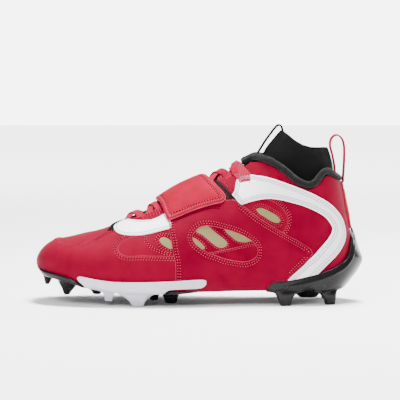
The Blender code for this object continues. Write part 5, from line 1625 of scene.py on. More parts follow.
# ---------------------------------------------------------------- bands of lace and webbing
def band(name, centre, outward, width, thick, n_round=5, twist=None):
    """A flat band along points, its face towards outward. Rounded edges, closed ends."""
    c, up = np.asarray(centre, float), np.asarray(outward, float)
    t = np.gradient(c, axis=0)
    t /= np.linalg.norm(t, axis=1, keepdims=True)
    up = up - (up * t).sum(1)[:, None] * t
    up /= np.linalg.norm(up, axis=1, keepdims=True)
    side = np.cross(t, up)
    if twist is not None:
        ca, sa = np.cos(twist)[:, None], np.sin(twist)[:, None]
        side, up = side * ca + up * sa, up * ca - side * sa
    width = np.broadcast_to(width, (len(c),))
    thick = np.broadcast_to(thick, (len(c),))
    prof = []
    for k in range(n_round + 1):
        a = -math.pi / 2 + math.pi * k / n_round
        prof.append((1, math.cos(a), math.sin(a)))
    flat = np.linspace(1, -1, 8)[1:-1]
    prof += [(f, 0, 1) for f in flat]
    for k in range(n_round + 1):
        a = math.pi / 2 + math.pi * k / n_round
        prof.append((-1, math.cos(a), math.sin(a)))
    prof += [(-f, 0, -1) for f in flat]
    prof = np.array(prof)
    h = thick / 2
    w = width / 2 - h
    rings = c[:, None] + side[:, None] * (prof[None, :, 0] * w[:, None] + prof[None, :, 1] * h[:, None])[..., None] \
        + up[:, None] * (prof[None, :, 2] * h[:, None])[..., None]
    n, m = rings.shape[:2]
    s = np.concatenate([[0], np.cumsum(np.linalg.norm(np.diff(c, axis=0), axis=1))])
    uv = np.stack([np.repeat(s[:, None], m, axis=1),
                   prof[None, :, 0] * w[:, None] + prof[None, :, 1] * h[:, None]], axis=-1)
    faces = [tuple(f) for f in grid_faces(n, m, wrap=True)]
    faces += [tuple(range(m))[::-1], tuple(range((n - 1) * m, n * m))]
    made = add_mesh(name, rings.reshape(-1, 3), faces, uv.reshape(-1, 2))
    clean(made, 0.002)
    return made


def dense(points, step=0.7):
    """A natural curve through points, at even steps."""
    p = np.asarray(points, float)
    s = np.concatenate([[0], np.cumsum(np.linalg.norm(np.diff(p, axis=0), axis=1))])
    q = np.linspace(0, s[-1], max(int(s[-1] / step), 4) + 1)
    return np.stack([natural_spline(s, p[:, k])(q) for k in range(p.shape[1])], axis=1)


def lace_leg(name, knots, width=7.0, thick=1.15, twist=None):
    """A flat lace over the instep. Each knot is x, the signed length from the ridge, and the height."""
    k = dense(knots, 0.8)
    side = np.where(k[:, 1] < 0, -1, 1)
    x, s = k[:, 0], k[:, 1]
    v = np.where(side < 0, CHARTS[-1].from_xs(x, s), CHARTS[1].from_xs(x, s))
    low = skin_any(x, v, side, k[:, 2])
    up = skin_any(x, v, side, k[:, 2] + 1.0) - low
    # the two sides' charts meet on the ridge: even out the bend there
    for _ in range(6):
        low[1:-1] = 0.25 * low[:-2] + 0.5 * low[1:-1] + 0.25 * low[2:]
        up[1:-1] = 0.25 * up[:-2] + 0.5 * up[1:-1] + 0.25 * up[2:]
    q = np.linspace(0, 1, len(low))
    turn = None if twist is None else np.interp(q, *twist)
    return band(name, low, up, width, thick, twist=turn)


legs = [
    lace_leg("lace_a", ((-66.5, -21.5, 0.1), (-66.3, -15.5, 1.2), (-64.0, -8.0, 1.9), (-60.6, 0.0, 2.0),
                        (-57.5, 8.0, 1.4), (-55.0, 16.0, 0.9), (-54.4, 20.0, 0.1))),
    lace_leg("lace_b", ((-54.6, -21.5, 0.1), (-55.0, -15.5, 1.3), (-57.6, -8.0, 2.7), (-61.0, 0.0, 3.4),
                        (-64.0, 8.0, 2.2), (-66.6, 16.0, 0.9), (-67.2, 20.0, 0.1)),
             twist=((0, 0.25, 0.4, 1), (0, 0.15, 0, 0))),
]
front = together("lace_front", *legs)
dress(front, M_LACE, "lace", "lace_cross_front")
legs = [
    lace_leg("lace_c", ((-46.4, -22.0, 0.1), (-46.0, -15.5, 1.2), (-43.6, -8.0, 1.9), (-41.6, 0.0, 2.0),
                        (-39.8, 8.0, 1.4), (-38.0, 16.0, 0.9), (-37.6, 20.0, 0.1))),
    lace_leg("lace_d", ((-37.4, -22.0, 0.1), (-38.2, -15.5, 1.2), (-40.4, -8.0, 2.8), (-43.0, 0.0, 3.4),
                        (-45.0, 8.0, 2.2), (-46.6, 16.0, 0.9), (-47.2, 20.0, 0.1)),
             twist=((0, 0.3, 0.45, 1), (0, -0.35, 0, 0))),
]
middle = together("lace_middle", *legs)
dress(middle, M_LACE, "lace", "lace_cross_middle")
legs = [
    lace_leg("lace_e", ((8.2, -21.0, 0.1), (9.2, -16.0, 1.3), (13.0, -8.5, 1.9), (17.4, 0.0, 2.0),
                        (21.4, 8.0, 1.5), (24.6, 16.0, 0.9), (25.4, 20.0, 0.1))),
    lace_leg("lace_f", ((27.0, -21.0, 0.6), (25.6, -16.0, 1.8), (21.5, -8.5, 3.0), (17.0, 0.0, 3.5),
                        (12.6, 8.0, 2.4), (9.2, 16.0, 0.9), (8.4, 20.0, 0.1)), width=6.6,
             twist=((0, 0.16, 0.34, 0.5, 1), (0, 0.5, 0.35, 0, 0))),
]
rear = together("lace_rear", *legs)
dress(rear, M_LACE, "lace", "lace_cross_rear")
top = lace_leg("lace_top", ((33.2, -20.5, 1.2), (33.0, -16.0, 2.2), (33.4, -8.0, 2.4), (33.2, 0.0, 2.4), (33.0, 8.0, 2.3),
                            (32.9, 16.0, 1.4), (32.8, 20.0, 0.4)), thick=1.3)
dress(top, M_LACE, "lace", "lace_bar_top")

# ---------------------------------------------------------------- padded collar roll
roll_rows = np.array(ROLL, float)


def roll_centre(side):
    run, z = roll_rows[:, 0], roll_rows[:, 1]
    v = v_at_z(run, np.where(z > 0, z, 999.0), side)
    v[0] = 1.0
    return run, v


def roll_mesh():
    points, radii = [], []
    for side in (-1, 1):
        run, v = roll_centre(side)
        line = skin(run, v, side, -1.0)
        points.append(line if side < 0 else line[::-1][1:-1])
        radii.append(roll_rows[:, 2] if side < 0 else roll_rows[:, 2][::-1][1:-1])
    p, r = np.concatenate(points), np.concatenate(radii)
    n = len(p)
    wrap = np.concatenate([p[-4:], p, p[:5]])
    wr = np.concatenate([r[-4:], r, r[:5]])
    s = np.concatenate([[0], np.cumsum(np.linalg.norm(np.diff(wrap, axis=0), axis=1))])
    a, b = s[4], s[4 + n]
    q = np.linspace(a, b, int((b - a) / 0.85), endpoint=False)
    c = np.stack([natural_spline(s, wrap[:, k])(q) for k in range(3)], axis=1)
    rad = natural_spline(s, wr)(q)
    t = np.roll(c, -1, axis=0) - np.roll(c, 1, axis=0)
    t /= np.linalg.norm(t, axis=1, keepdims=True)
    out = c - np.array([85.0, 0.0, 0.0])
    out[:, 2] = 0
    out = out - (out * t).sum(1)[:, None] * t
    out /= np.linalg.norm(out, axis=1, keepdims=True)
    up = np.cross(t, out)
    m = 30
    ang = np.linspace(0, 2 * math.pi, m, endpoint=False)
    lump = RNG.normal(0, 1, (len(c), m))
    for _ in range(2):
        lump = (lump + np.roll(lump, 1, 0) + np.roll(lump, -1, 0) + np.roll(lump, 1, 1) + np.roll(lump, -1, 1)) / 5
    wave = 0.10 * np.sin((q - a) * 0.37)[:, None] + 0.45 * lump
    rr = rad[:, None] - 0.05 + wave
    rings = c[:, None] + out[:, None] * (np.cos(ang)[None] * rr)[..., None] + up[:, None] * (np.sin(ang)[None] * rr)[..., None]
    uv = np.stack([np.repeat((q - a)[:, None], m, axis=1), np.repeat((ang * 3.2)[None], len(c), axis=0)], axis=-1)
    faces = []
    k = len(c)
    i, j = np.meshgrid(np.arange(k), np.arange(m), indexing="ij")
    i, j = i.ravel(), j.ravel()
    faces = np.stack([i * m + j, ((i + 1) % k) * m + j, ((i + 1) % k) * m + (j + 1) % m, i * m + (j + 1) % m], axis=1)
    made = add_mesh("collar_fleece", rings.reshape(-1, 3), faces, uv.reshape(-1, 2))
    return clean(made, 0.001)


roll = roll_mesh()
dress(roll, M_FLEECE, "fleece", "collar_roll")
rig.padded(roll, 0.7)

# ---------------------------------------------------------------- sock collar and tongue
KNIT = 1.8
SOCK_DROP = (12.0, 4.6, 0.0, -4.5)
SOCK_OFF = (-4.1, -4.3, -5.3, -5.6)
SOCK_TOP = ((74.6, 0.0, 158.9), (76.4, 9.0, 157.6), (81.6, 16.4, 153.9), (88.5, 20.6, 148.8),
            (96.0, 22.0, 144.9), (103.0, 21.4, 142.6), (109.5, 18.0, 142.5), (114.6, 12.0, 143.0),
            (117.0, 6.0, 143.2), (117.8, 0.0, 143.2))


def sock_levels(side):
    """Rings of the sock on one side: rows along the roll, levels upwards."""
    run, v = roll_centre(side)
    n = len(run)
    rings = []
    for drop, off in zip(SOCK_DROP, SOCK_OFF):
        front = np.array([1.0, 0.95, 0.72, 0.34, 0.12] + [0.0] * (n - 5))
        r = run - drop * front * (1.0 if drop > 0 else 1.6)
        z = roll_rows[:, 1] - drop + drop * front * 0.55
        vv = v_at_z(r, np.where(z > 0, z, 999.0), side)
        vv[0] = 1.0
        vv[1] = min(vv[1], v_at_gap(r[1:2], np.array([5.0]), side)[0])
        vv[2] = min(vv[2], v_at_gap(r[2:3], np.array([10.0 if drop > 0 else 8.0]), side)[0])
        deep = off - (3.5 * front if drop < 0 else 0.0)
        rings.append((skin(r, vv, side, deep), skin(r, vv, side, deep - KNIT)))
    top = np.array(SOCK_TOP, float)
    along = np.concatenate([[0], np.cumsum(np.linalg.norm(np.diff(top, axis=0), axis=1))])
    ring = rings[-1][0]
    share = np.concatenate([[0], np.cumsum(np.linalg.norm(np.diff(ring, axis=0), axis=1))])
    share = share / share[-1] * along[-1]
    rim = np.stack([np.interp(share, along, top[:, k]) for k in range(3)], axis=1)
    rim[:, 1] *= side
    for t in (0.34, 0.68, 1.0):
        outer = ring * (1 - t) + rim * t
        away = outer[:, :2] - np.array([96.0, 0.0])
        away = away / np.linalg.norm(away, axis=1, keepdims=True)
        outer = outer.copy()
        outer[:, :2] += away * 1.2 * math.sin(math.pi * t)
        inner = outer.copy()
        inner[:, :2] -= away * KNIT
        rings.append((outer, inner))
    outer = np.stack([o for o, _ in rings], axis=1)
    inner = np.stack([i for _, i in rings], axis=1)
    outer[-1, :, 1] = 0.0
    inner[-1, :, 1] = 0.0
    outer[0, :, 1] *= 1.0
    return outer, inner


TONGUE_OFF = -3.8
TONGUE_X = np.array([28, 19, 8, -5, -19, -36, -53, -69, -86], float)
TONGUE_HALF = of_table(("run", "half"), ((-86, 12.0), (-68, 15.5), (-34, 19.0), (0, 21.5), (36, 24.0)))["half"]


def tongue_patch(side, first, first_in):
    cols = first.shape[0]
    shares = np.linspace(0, 1, cols)
    outs, ins = [first], [first_in]
    for x in TONGUE_X[1:]:
        gap = TONGUE_HALF(x) * shares
        xs = np.full(cols, x) + 4.0 * shares ** 2 * (1 if x < 20 else 0.4)
        v = v_at_gap(xs, gap, side)
        rise = 3.7 * (1 - shares ** 2) ** 1.5 * np.clip((xs - TONGUE_X[-1] - 8.0) / 10.0, 0, 1)
        outs.append(skin(xs, v, side, TONGUE_OFF + rise))
        ins.append(skin(xs, v, side, TONGUE_OFF + rise - KNIT))
    return np.stack(outs), np.stack(ins)


def finer(grid, ri, rj):
    """The same surface with ri by rj as many cells, through natural curves."""
    g = np.asarray(grid, float)
    for axis, r in ((0, ri), (1, rj)):
        n = g.shape[axis]
        q = np.linspace(0, n - 1, (n - 1) * r + 1)
        moved = np.moveaxis(g, axis, 0)
        flat = moved.reshape(n, -1)
        out = np.stack([natural_spline(np.arange(n), flat[:, k])(q) for k in range(flat.shape[1])], axis=1)
        g = np.moveaxis(out.reshape((len(q),) + moved.shape[1:]), 0, axis)
    return g


def lengths_uv(grid):
    a = np.concatenate([np.zeros((1, grid.shape[1])), np.cumsum(np.linalg.norm(np.diff(grid, axis=0), axis=2), axis=0)])
    b = np.concatenate([np.zeros((grid.shape[0], 1)), np.cumsum(np.linalg.norm(np.diff(grid, axis=1), axis=2), axis=1)], axis=1)
    return np.stack([a, b], axis=-1)


def bootie_mesh():
    patches = []
    for side in (-1, 1):
        outer, inner = sock_levels(side)
        fo, fi = finer(outer, 6, 8), finer(inner, 6, 8)
        fo[0, :, 1] = 0.5 * (fo[0, :, 1] + 0.0)
        fo[0, :, 1] = fi[0, :, 1] = 0.0
        rim = 0.5 * (fo[:, -1] + fi[:, -1])
        # a rolled, slightly thicker hem
        for g, sign in ((fo, 1.0), (fi, -1.0)):
            away = fo[:, -1] - fi[:, -1]
            away /= np.maximum(np.linalg.norm(away, axis=1, keepdims=True), 1e-9)
            for k in range(1, 10):
                g[:, -k] += away * sign * 0.28 * math.sin(math.pi * k / 10)
        ufo = lengths_uv(fo)
        patches.append((fo, fi, ufo))
        to, ti = tongue_patch(side, outer[:5, 0], inner[:5, 0])
        to, ti = finer(to, 8, 6), finer(ti, 8, 6)
        to[0], ti[0] = fo[:25, 0], fi[:25, 0]
        to[:, 0, 1] = 0.5 * to[:, 0, 1] + 0.5 * to[:, 0, 1]
        patches.append((to, ti, lengths_uv(to)))
    return patches


bootie = shell_mesh("bootie_knit", bootie_mesh(), near=0.12)
dress(bootie, M_KNIT, "black_knit", "bootie")

# ---------------------------------------------------------------- pull loops
PULL_FRONT = ((48.9, 132.6), (50.6, 134.2), (53.3, 137.8), (57.5, 144.6), (62.8, 152.6), (67.0, 158.2), (70.4, 162.4),
              (72.7, 163.8), (74.9, 162.9), (75.9, 160.6), (76.4, 157.4))
PULL_HEEL = ((124.7, 121.0), (124.2, 126.5), (123.3, 131.5), (122.0, 137.5), (120.4, 143.5), (120.4, 148.6),
             (122.5, 152.8), (126.2, 154.6), (129.9, 152.6), (132.5, 147.6), (133.4, 140.2),
             (133.2, 130.2), (132.8, 122.2), (132.4, 116.4), (132.2, 111.4))


def pull_loop(name, path, half, centre_y, thick, taper=None):
    c = dense(path, 0.8)
    c3 = np.stack([c[:, 0], np.full(len(c), centre_y), c[:, 1]], axis=1)
    t = np.gradient(c3, axis=0)
    up = np.stack([-t[:, 2], np.zeros(len(t)), t[:, 0]], axis=1)
    return band(name, c3, up, half * 2, thick)


loop = pull_loop("pull_webbing_front", PULL_FRONT, 6.0, 0.6, 1.7)
dress(loop, M_WEB_K, "webbing_black", "pull_loop_front")
loop = pull_loop("pull_webbing_heel", PULL_HEEL, 6.5, 0.0, 1.6)
dress(loop, M_WEB_R, "webbing_red", "pull_loop_heel")


# ---------------------------------------------------------------- heel tab
def heel_tab_patch(side, z, lo_run, off):
    runs = np.linspace(lo_run, 159.0, 9)
    r, h = np.meshgrid(runs, z)
    v = v_at_z(r.ravel(), h.ravel(), side).reshape(r.shape)
    edge = np.clip((r - lo_run) / 1.0, 0, 1)
    puff = off * (0.4 + 0.6 * np.sqrt(1 - (1 - edge) ** 2))
    outs, ins = skin(r, v, side, 0.25 + puff), skin(r, v, side, np.full(r.shape, 0.1))
    return outs, ins, lengths_uv(outs)


tab_z = np.linspace(68.6, 111.4, 44)
tab = shell_mesh("heel_tab_webbing", [heel_tab_patch(s, tab_z, 150.5, 1.35) for s in (-1, 1)], near=0.05)
dress(tab, M_WEB_R, "webbing_red", "heel_tab")
edge_z = np.linspace(79.0, 104.0, 26)
edge = shell_mesh("heel_tab_edge", [heel_tab_patch(s, edge_z, 156.8, 1.95) for s in (-1, 1)], near=0.05)
dress(edge, M_VOLT, "mesh_yellow")

# ---------------------------------------------------------------- insole
def insole_patch(side):
    run = np.unique(np.concatenate([[-142, -141.5, -140.5, -139], np.arange(-137, 99, 4.0), np.arange(99, 159, 3.0), [159]]))
    reach = 0.94 * np.clip((run + 143.0) / 3.0, 0.55, 1) ** 0.5
    v = spread(np.full(run.shape, -1.0), reach - 1.0, np.linspace(0, 1, 10))
    r = np.repeat(run[:, None], v.shape[1], axis=1)
    out = skin(r, v, side, -2.3)
    return out, skin(r, v, side, -5.3), lengths_uv(out)


board = shell_mesh("insole_board", [insole_patch(s) for s in (-1, 1)])
dress(board, M_BOARD, "insole_board", "insole")


# ---------------------------------------------------------------- outsole plates
SEAT, PLATE = 0.55, 2.6


def plate_bottom(x):
    """Height of the plates' underside at a station."""
    return section(np.asarray(x, float), np.full(np.shape(x), -0.5), -1)[1] - SEAT - PLATE


def solid_loft(name, rings):
    """A closed solid through rings of equal count."""
    rings = np.asarray(rings, float)
    n, m = rings.shape[:2]
    faces = [tuple(f) for f in grid_faces(n, m, wrap=True)]
    faces += [tuple(range(m)), tuple(range((n - 1) * m, n * m))[::-1]]
    return clean(add_mesh(name, rings.reshape(-1, 3), faces), 0.002)


def superellipse(cx, cy, hx, hy, power, count=44):
    t = np.linspace(0, 2 * math.pi, count, endpoint=False)
    c, s = np.cos(t), np.sin(t)
    return np.stack([cx + hx * np.sign(c) * np.abs(c) ** (2 / power),
                     cy + hy * np.sign(s) * np.abs(s) ** (2 / power)], axis=1)


def smooth_stud(name, levels, side, root=0.8, power=3.4, count=26):
    """A stud through its levels, z, front, rear, inner, outer, with smooth flanks. A height over 90
    stands for the plate's own underside."""
    s = side if side else 1
    rows = []
    for z, front, rear, inner, outer in levels:
        mid = 0.5 * (front + rear)
        rows.append((float(plate_bottom(mid)) + root if z > 90 else z, front, rear, inner, outer))
    rows = np.array(rows)
    z = np.concatenate([[rows[0, 0] - 0.0], np.linspace(rows[0, 0], rows[-1, 0], count)[1:]])
    cols = [monotone_spline(rows[:, 0], rows[:, k])(z) for k in range(1, 5)]
    rings = []
    for k, h in enumerate(z):
        f, r, i, o = (c[k] for c in cols)
        cy0 = float(LAST_AT["centre"](min(0.5 * (f + r), FAN_X)))
        if 0.5 * (f + r) >= FAN_X:
            cy0 = 0.0
        ring = superellipse(0.5 * (f + r), cy0 + s * 0.5 * (i + o), 0.5 * (r - f), 0.5 * (o - i), power)
        ring = np.concatenate([ring, np.full((len(ring), 1), h)], axis=1)
        rings.append(ring)
    last = rings[-1].copy()
    last[:, 2] = plate_bottom(last[:, 0]) + root
    rings[-1] = last
    return solid_loft(name, rings)


def fuse(name, parts, voxel=0.55, smooth=3, ratio=0.5, cap=None):
    """Several closed pieces as one skin, evened out."""
    bm = bmesh.new()
    for o in parts:
        bm.from_mesh(o.data)
    mesh = bpy.data.meshes.new(name)
    bm.to_mesh(mesh)
    bm.free()
    made = bpy.data.objects.new(name, mesh)
    bpy.context.scene.collection.objects.link(made)
    for o in parts:
        bpy.data.objects.remove(o, do_unlink=True)
    m = made.modifiers.new("remesh", "REMESH")
    m.mode = "VOXEL"
    m.voxel_size = voxel * MM
    m = made.modifiers.new("even", "SMOOTH")
    m.factor, m.iterations = 0.6, smooth
    m = made.modifiers.new("less", "DECIMATE")
    m.ratio = ratio
    graph = bpy.context.evaluated_depsgraph_get()
    final = bpy.data.meshes.new_from_object(made.evaluated_get(graph))
    made.modifiers.clear()
    made.data = final
    final.polygons.foreach_set("use_smooth", np.ones(len(final.polygons), bool))
    return made


GUARD = ((-150.1, 0.00), (-149.4, 0.09), (-147.0, 0.125), (-141.0, 0.14), (-133.5, 0.14),
         (-120.4, 0.129), (-111.9, 0.10), (-107.0, 0.055), (-103.5, 0.0), (-99.0, -0.20),
         (-95.0, -0.38), (-40.0, -0.38), (-37.0, -0.30), (-34.0, -0.12), (-31.0, 0.02),
         (-27.0, 0.066), (-20.0, 0.070), (-4.0, 0.072), (1.0, 0.075))
guard_edge = of_table(("run", "edge"), GUARD)["edge"]
SIDE_PLATE = ((-110.0, 0.150, 0.176), (-108.5, 0.118, 0.187), (-106.7, 0.095, 0.190),
              (-103.0, 0.040, 0.190), (-99.0, -0.160, 0.188), (-95.0, -0.350, 0.186),
              (-87.8, -0.355, 0.183), (-74.6, -0.355, 0.177), (-59.2, -0.355, 0.180),
              (-43.9, -0.355, 0.182), (-40.0, -0.350, 0.181), (-37.0, -0.260, 0.1805),
              (-34.0, -0.070, 0.180), (-31.0, 0.060, 0.1795), (-27.0, 0.094, 0.179),
              (-22.1, 0.096, 0.179), (-5.6, 0.098, 0.178), (0.0, 0.101, 0.176),
              (3.2, 0.115, 0.173), (5.4, 0.138, 0.166))
CUP = ((60.5, 17.0), (63.0, 19.4), (68.8, 22.4), (80.2, 23.6), (101.0, 28.0), (112.7, 31.4),
       (122.8, 35.5), (132.3, 39.8), (139.5, 46.5), (143.8, 54.0), (150.0, 62.0), (159.0, 68.6))
SPUR = ((15.0, 0.3), (19.7, 0.9), (31.3, 5.2), (40.5, 8.0), (50.0, 3.9), (59.5, 1.3), (68.6, 0.0))


def patch_uv(grid):
    return grid[..., [0, 1]]


def forefoot_fine(side):
    run = np.unique(np.concatenate([[-150.1, -149.8, -149.4, -148.6, -147.6], np.arange(-146.5, 1, 1.3), [1.0]]))
    edge = guard_edge(run)
    flat = np.minimum(edge, 0.0)
    v = np.concatenate([spread(np.full(edge.shape, -1.0), flat, np.linspace(0, 1, 17))[:, :-1],
                        spread(flat, edge, np.linspace(0, 1, 13))], axis=1)
    v = np.maximum.accumulate(v + np.arange(v.shape[1]) * 1e-5, axis=1)
    r = np.repeat(run[:, None], v.shape[1], axis=1)
    thick = (PLATE * np.clip((run + 151.0) / 9.0, 0.12, 1) * np.clip((8.0 - run) / 25.0, 0.28, 1))[:, None]
    # a raised lip along the outer edge
    q = (edge[:, None] - v) / 0.03
    lip = 0.35 * np.exp(-(np.clip(q, 0, 9) - 0.8) ** 2)
    return skin(r, v, side, SEAT + thick + lip), skin(r, v, side, np.full(v.shape, SEAT)), patch_uv(v[..., None] * [1, 1])


fore = shell_mesh("fore", [forefoot_fine(s) for s in (-1, 1)])
pieces = [fore]
FLARES = {
    "second": ((8.8, -124.4, -119.8, 21.8, 25.8), (9.4, -124.9, -119.2, 21.2, 26.4), (11.4, -125.5, -118.2, 20.6, 27.0),
               (14.0, -126.4, -116.0, 19.8, 28.2), (99.0, -130.4, -109.6, 17.0, 31.6)),
    "first": ((16.4, -143.0, -139.9, 6.4, 10.2), (17.1, -143.4, -139.4, 5.8, 10.8), (19.6, -144.0, -138.2, 5.0, 11.4),
              (99.0, -145.4, -134.8, 3.6, 14.0)),
    "inner": ((1.0, -30.8, -22.2, 16.4, 23.8), (1.7, -31.6, -21.4, 15.6, 24.6), (6.4, -33.4, -20.0, 14.4, 26.0),
              (11.0, -36.6, -16.4, 12.6, 28.2), (99.0, -44.0, -6.0, 9.0, 31.0)),
    "centre": ((1.4, -45.6, -39.6, -3.2, 3.2), (2.1, -46.3, -38.9, -4.0, 4.0), (5.0, -47.2, -38.0, -4.6, 4.6),
               (9.0, -49.4, -36.0, -6.0, 6.0), (99.0, -56.0, -30.0, -10.0, 10.0)),
    "middle": ((8.2, -97.6, -92.2, 12.4, 16.8), (8.9, -98.4, -91.4, 11.6, 17.6), (10.6, -99.4, -90.4, 10.6, 18.4),
               (99.0, -105.0, -84.0, 7.0, 22.4)),
    "third": ((4.6, -85.8, -80.4, 34.9, 38.8), (5.3, -86.4, -79.8, 34.2, 39.4), (10.4, -87.4, -78.2, 33.2, 40.6),
              (13.4, -89.0, -75.4, 32.6, 41.6), (99.0, -93.0, -70.0, 32.0, 43.0)),
    "main": ((0.0, -60.6, -51.7, 37.6, 42.8), (0.7, -61.2, -51.0, 36.6, 43.8), (3.6, -63.2, -50.0, 35.8, 44.6),
             (8.2, -67.6, -46.0, 34.2, 46.4), (12.0, -74.6, -38.6, 33.6, 47.2), (99.0, -79.0, -30.0, 33.0, 47.4)),
    "blade_front": ((0.0, 73.8, 82.4, 30.0, 35.8), (0.7, 73.1, 82.8, 29.2, 36.4), (3.0, 72.1, 83.2, 28.4, 37.0),
                    (8.0, 70.2, 85.6, 26.8, 37.5), (11.6, 67.4, 89.0, 25.6, 37.4), (99.0, 63.6, 96.0, 23.0, 36.6)),
    "blade_rear": ((0.0, 114.9, 123.4, 20.6, 26.4), (0.7, 114.3, 124.0, 19.9, 27.2), (3.0, 113.9, 124.3, 19.2, 27.8),
                   (8.0, 111.0, 125.0, 18.4, 28.6), (11.6, 107.4, 125.4, 18.0, 28.4), (99.0, 101.0, 126.6, 17.0, 27.8)),
}
for key, sides in (("second", (-1, 1)), ("first", (-1, 1)), ("inner", (-1, 1)), ("centre", (0,)), ("middle", (-1, 1))):
    for s in sides:
        pieces.append(smooth_stud("stud", FLARES[key], s))
# low ridges on the underside, across between the studs
for x, y0, y1 in ((-108.0, -20.0, 20.0), (-84.0, -24.0, 24.0), (-70.0, -26.0, 26.0)):
    rows = []
    for y in np.linspace(y0, y1, 30):
        base = float(plate_bottom(x))
        t = np.linspace(0, 2 * math.pi, 16, endpoint=False)
        rows.append(np.stack([x + 1.4 * np.cos(t), np.full(16, y), base + 0.5 + 1.5 * np.sin(t) - 0.4], axis=1))
    pieces.append(solid_loft("ridge", rows))
made = fuse("forefoot_plate_moulded", pieces, voxel=0.6, smooth=3, ratio=0.42)
dress(made, M_DARK, "dark_plate", "forefoot_plate")

side_tab = table_curves(("run", "low", "high"), SIDE_PLATE, "run", monotone_spline)


def side_fine(side):
    run = np.unique(np.concatenate([[-110, -109.6, -109.0, -108.2], np.arange(-107.4, 4.6, 1.2), [4.9, 5.4]]))
    low, high = side_tab["low"](run), side_tab["high"](run)
    turn = np.maximum(low, 0.0)
    v = np.concatenate([spread(low, turn, np.linspace(0, 1, 13))[:, :-1], spread(turn, high, np.linspace(0, 1, 17))], axis=1)
    v = np.maximum.accumulate(v + np.arange(v.shape[1]) * 1e-5, axis=1)
    r = np.repeat(run[:, None], v.shape[1], axis=1)
    return skin(r, v, side, np.full(v.shape, SEAT + PLATE)), skin(r, v, side, np.full(v.shape, SEAT)), \
        patch_uv(v[..., None] * [1, 1])


for side, word in SIDES:
    pieces = [shell_mesh("rail", [side_fine(side)])]
    for key in ("main", "third"):
        pieces.append(smooth_stud("stud", FLARES[key], side))
    made = fuse("side_plate_moulded_" + word, pieces, voxel=0.5, smooth=3, ratio=0.45)
    dress(made, M_PALE, "pale_plate", "side_plate_" + word)

cup_z = of_table(("run", "z"), CUP)["z"]
spur_off = of_table(("z", "off"), SPUR, "z")["off"]


def heel_fine(side):
    run = np.unique(np.concatenate([[60.5, 61.0, 61.8], np.arange(63, 84, 1.4), np.arange(84, 113, 0.8), np.arange(113, 159, 1.6), [159.0]]))
    top = v_at_z(run, cup_z(run), side)
    top[0] = 0.0
    zero = np.zeros(top.shape)
    v = np.concatenate([spread(zero - 1.0, zero, np.linspace(0, 1, 19))[:, :-1],
                        spread(zero, top, np.linspace(0, 1, 45))], axis=1)
    v = np.maximum.accumulate(v + np.arange(v.shape[1]) * 1e-5, axis=1)
    r = np.repeat(run[:, None], v.shape[1], axis=1)
    z = form(r, v, side)[..., 2]
    back = np.clip((r - 128.0) / 31.0, 0, 1)
    off = SEAT + PLATE * np.clip(0.6 + (cup_z(r) - z) / 14.0, 0.6, 1.0) + spur_off(z) * back ** 1.6
    # two long facets with a soft line between them
    off = off + 0.45 * np.exp(-((z - (cup_z(r) - 5.5)) / 1.1) ** 2) * np.clip((v > 0.02) * 1.0, 0, 1)
    # the side wall steps in under an arch between the two blades
    arch = 18.4 - 7.9 * ((r - 98.5) / 10.6) ** 2
    inward = 1.9 * np.clip((arch - z) / 0.8, 0, 1) * np.clip((v + 0.25) / 0.2, 0, 1)
    off = off - inward * np.clip(1.0 - np.abs(r - 98.5) / 16.0 + 0.6, 0, 1)
    seat = SEAT + 0.6 * np.clip((67.0 - r) / 6.5, 0, 1)
    return skin(r, v, side, off), skin(r, v, side, seat), patch_uv(v[..., None] * [1, 1])


pieces = [shell_mesh("cup", [heel_fine(s) for s in (-1, 1)])]
for key in ("blade_front", "blade_rear"):
    for s in (-1, 1):
        pieces.append(smooth_stud("stud", FLARES[key], s))
pieces.append(smooth_stud("pad", ((4.4, 92.4, 107.6, -8.6, 8.6), (5.0, 91.4, 108.6, -9.6, 9.6),
                                  (7.4, 89.0, 110.6, -12.0, 12.0), (99.0, 79.0, 115.0, -18.0, 18.0)), 0,
                          power=3.6))
made = fuse("heel_plate_moulded", pieces, voxel=0.6, smooth=3, ratio=0.42)
dress(made, M_DARK, "dark_plate", "heel_plate")


# ---------------------------------------------------------------- threads
# the red thread's light colour is partly a painted highlight
sew("red", "thread_red", M_THREAD_LIT, "red_synthetic")
sew("white", "thread_pale", M_THREAD_W, "white_overlay")
# the threads under the strap, darker: painted shade
sew("dark", "thread_dark", M_THREAD_SHADED, "red_synthetic")
# dark dots between the stitches: painted shade of the needle holes
sew("red_hole", "needle_holes_red", M_HOLE_SHADE, "red_synthetic")
sew("dark_hole", "needle_holes_dark", M_HOLE_SHADE, "red_synthetic")
sew("white_hole", "needle_holes_pale", M_GREY_HOLE_SHADE, "white_overlay")

# ---------------------------------------------------------------- floor, light and camera
def floor_plane():
    size = 5.2
    n = 40
    t = np.linspace(-1, 1, n) ** 3 * size
    xx, yy = np.meshgrid(t, t, indexing="ij")
    verts = np.stack([xx.ravel(), yy.ravel(), np.zeros(n * n)], axis=1)
    mesh = bpy.data.meshes.new("floor")
    mesh.from_pydata(verts.tolist(), [], grid_faces(n, n).tolist())
    made = bpy.data.objects.new("floor", mesh)
    bpy.context.scene.collection.objects.link(made)
    mat, nodes, links, out = shader("floor_paper", (0.90, 0.90, 0.895), 0.8, spec=0.2)
    tc, mp = object_coords(nodes, 40.0)
    links.new(tc.outputs["Object"], mp.inputs["Vector"])
    grain = noise(nodes, links, mp.outputs["Vector"], 20.0, 2.0)
    vary_rough(nodes, links, out, grain, 0.75, 0.85)
    made.data.materials.append(mat)
    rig.stage(made)
    return made


floor_plane()

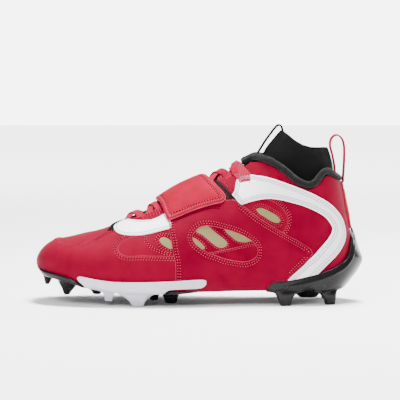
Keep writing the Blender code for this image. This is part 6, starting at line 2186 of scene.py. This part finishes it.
world = bpy.data.worlds.new("studio")
bpy.context.scene.world = world
world.use_nodes = True
sky = world.node_tree.nodes["Background"]
sky.inputs["Color"].default_value = (0.96, 0.97, 1.0, 1)
sky.inputs["Strength"].default_value = 1.0
way = world.node_tree.nodes.new("ShaderNodeTexCoord")
split = world.node_tree.nodes.new("ShaderNodeSeparateXYZ")
world.node_tree.links.new(way.outputs["Generated"], split.inputs["Vector"])
low_band = world.node_tree.nodes.new("ShaderNodeMapRange")
low_band.interpolation_type = "SMOOTHSTEP"
for word, number in (("From Min", 0.05), ("From Max", 0.26), ("To Min", 1.0), ("To Max", 0.0)):
    low_band.inputs[word].default_value = number
world.node_tree.links.new(split.outputs["Z"], low_band.inputs["Value"])
far_side = world.node_tree.nodes.new("ShaderNodeMapRange")
far_side.interpolation_type = "SMOOTHSTEP"
for word, number in (("From Min", 0.55), ("From Max", 0.9), ("To Min", 0.0), ("To Max", 6.2)):
    far_side.inputs[word].default_value = number
world.node_tree.links.new(split.outputs["Y"], far_side.inputs["Value"])
glow = world.node_tree.nodes.new("ShaderNodeMath")
glow.operation = "MULTIPLY_ADD"
glow.inputs[2].default_value = 0.50
world.node_tree.links.new(low_band.outputs["Result"], glow.inputs[0])
world.node_tree.links.new(far_side.outputs["Result"], glow.inputs[1])
world.node_tree.links.new(glow.outputs["Value"], sky.inputs["Strength"])


def soft_light(name, at, aim, size, power, colour=(1, 1, 1), spread=180.0):
    data = bpy.data.lights.new(name, "AREA")
    data.shape = "RECTANGLE"
    data.size, data.size_y = size
    data.energy = power
    data.color = colour
    data.spread = math.radians(spread)
    made = bpy.data.objects.new(name, data)
    made.location = at
    made.rotation_euler = (Vector(aim) - Vector(at)).to_track_quat("-Z", "Y").to_euler()
    bpy.context.scene.collection.objects.link(made)
    return made


soft_light("key", (-0.5, -1.3, 1.1), (0, 0, 0.07), (1.0, 0.7), 36.0)
soft_light("top", (0.12, 0.05, 1.5), (0, 0, 0.08), (0.8, 0.4), 118.0)
soft_light("back_floor", (0, 4.3, 1.5), (0, 4.3, 0), (9.0, 6.0), 760.0, spread=80.0)
soft_light("rim", (1.1, 0.5, 0.7), (0.1, 0, 0.08), (0.35, 0.8), 18.0)

cam_data = bpy.data.cameras.new("camera")
cam_data.sensor_width = 36.0
cam_data.lens = 36.0 * CAM_FAR / CAM_SPAN
cam_data.clip_start, cam_data.clip_end = 0.05, 60.0
cam = bpy.data.objects.new("camera", cam_data)
cam.location = CAM_AT * MM
cam.rotation_euler = Vector(CAM_DIR).to_track_quat("-Z", "Y").to_euler()
bpy.context.scene.collection.objects.link(cam)
bpy.context.scene.camera = cam

with open("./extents.json", "w") as out:
    json.dump({"cad": [list(CAD_BOX[0]), list(CAD_BOX[1])],
               "visual": [list(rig.bounds()[0]), list(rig.bounds()[1])]}, out)
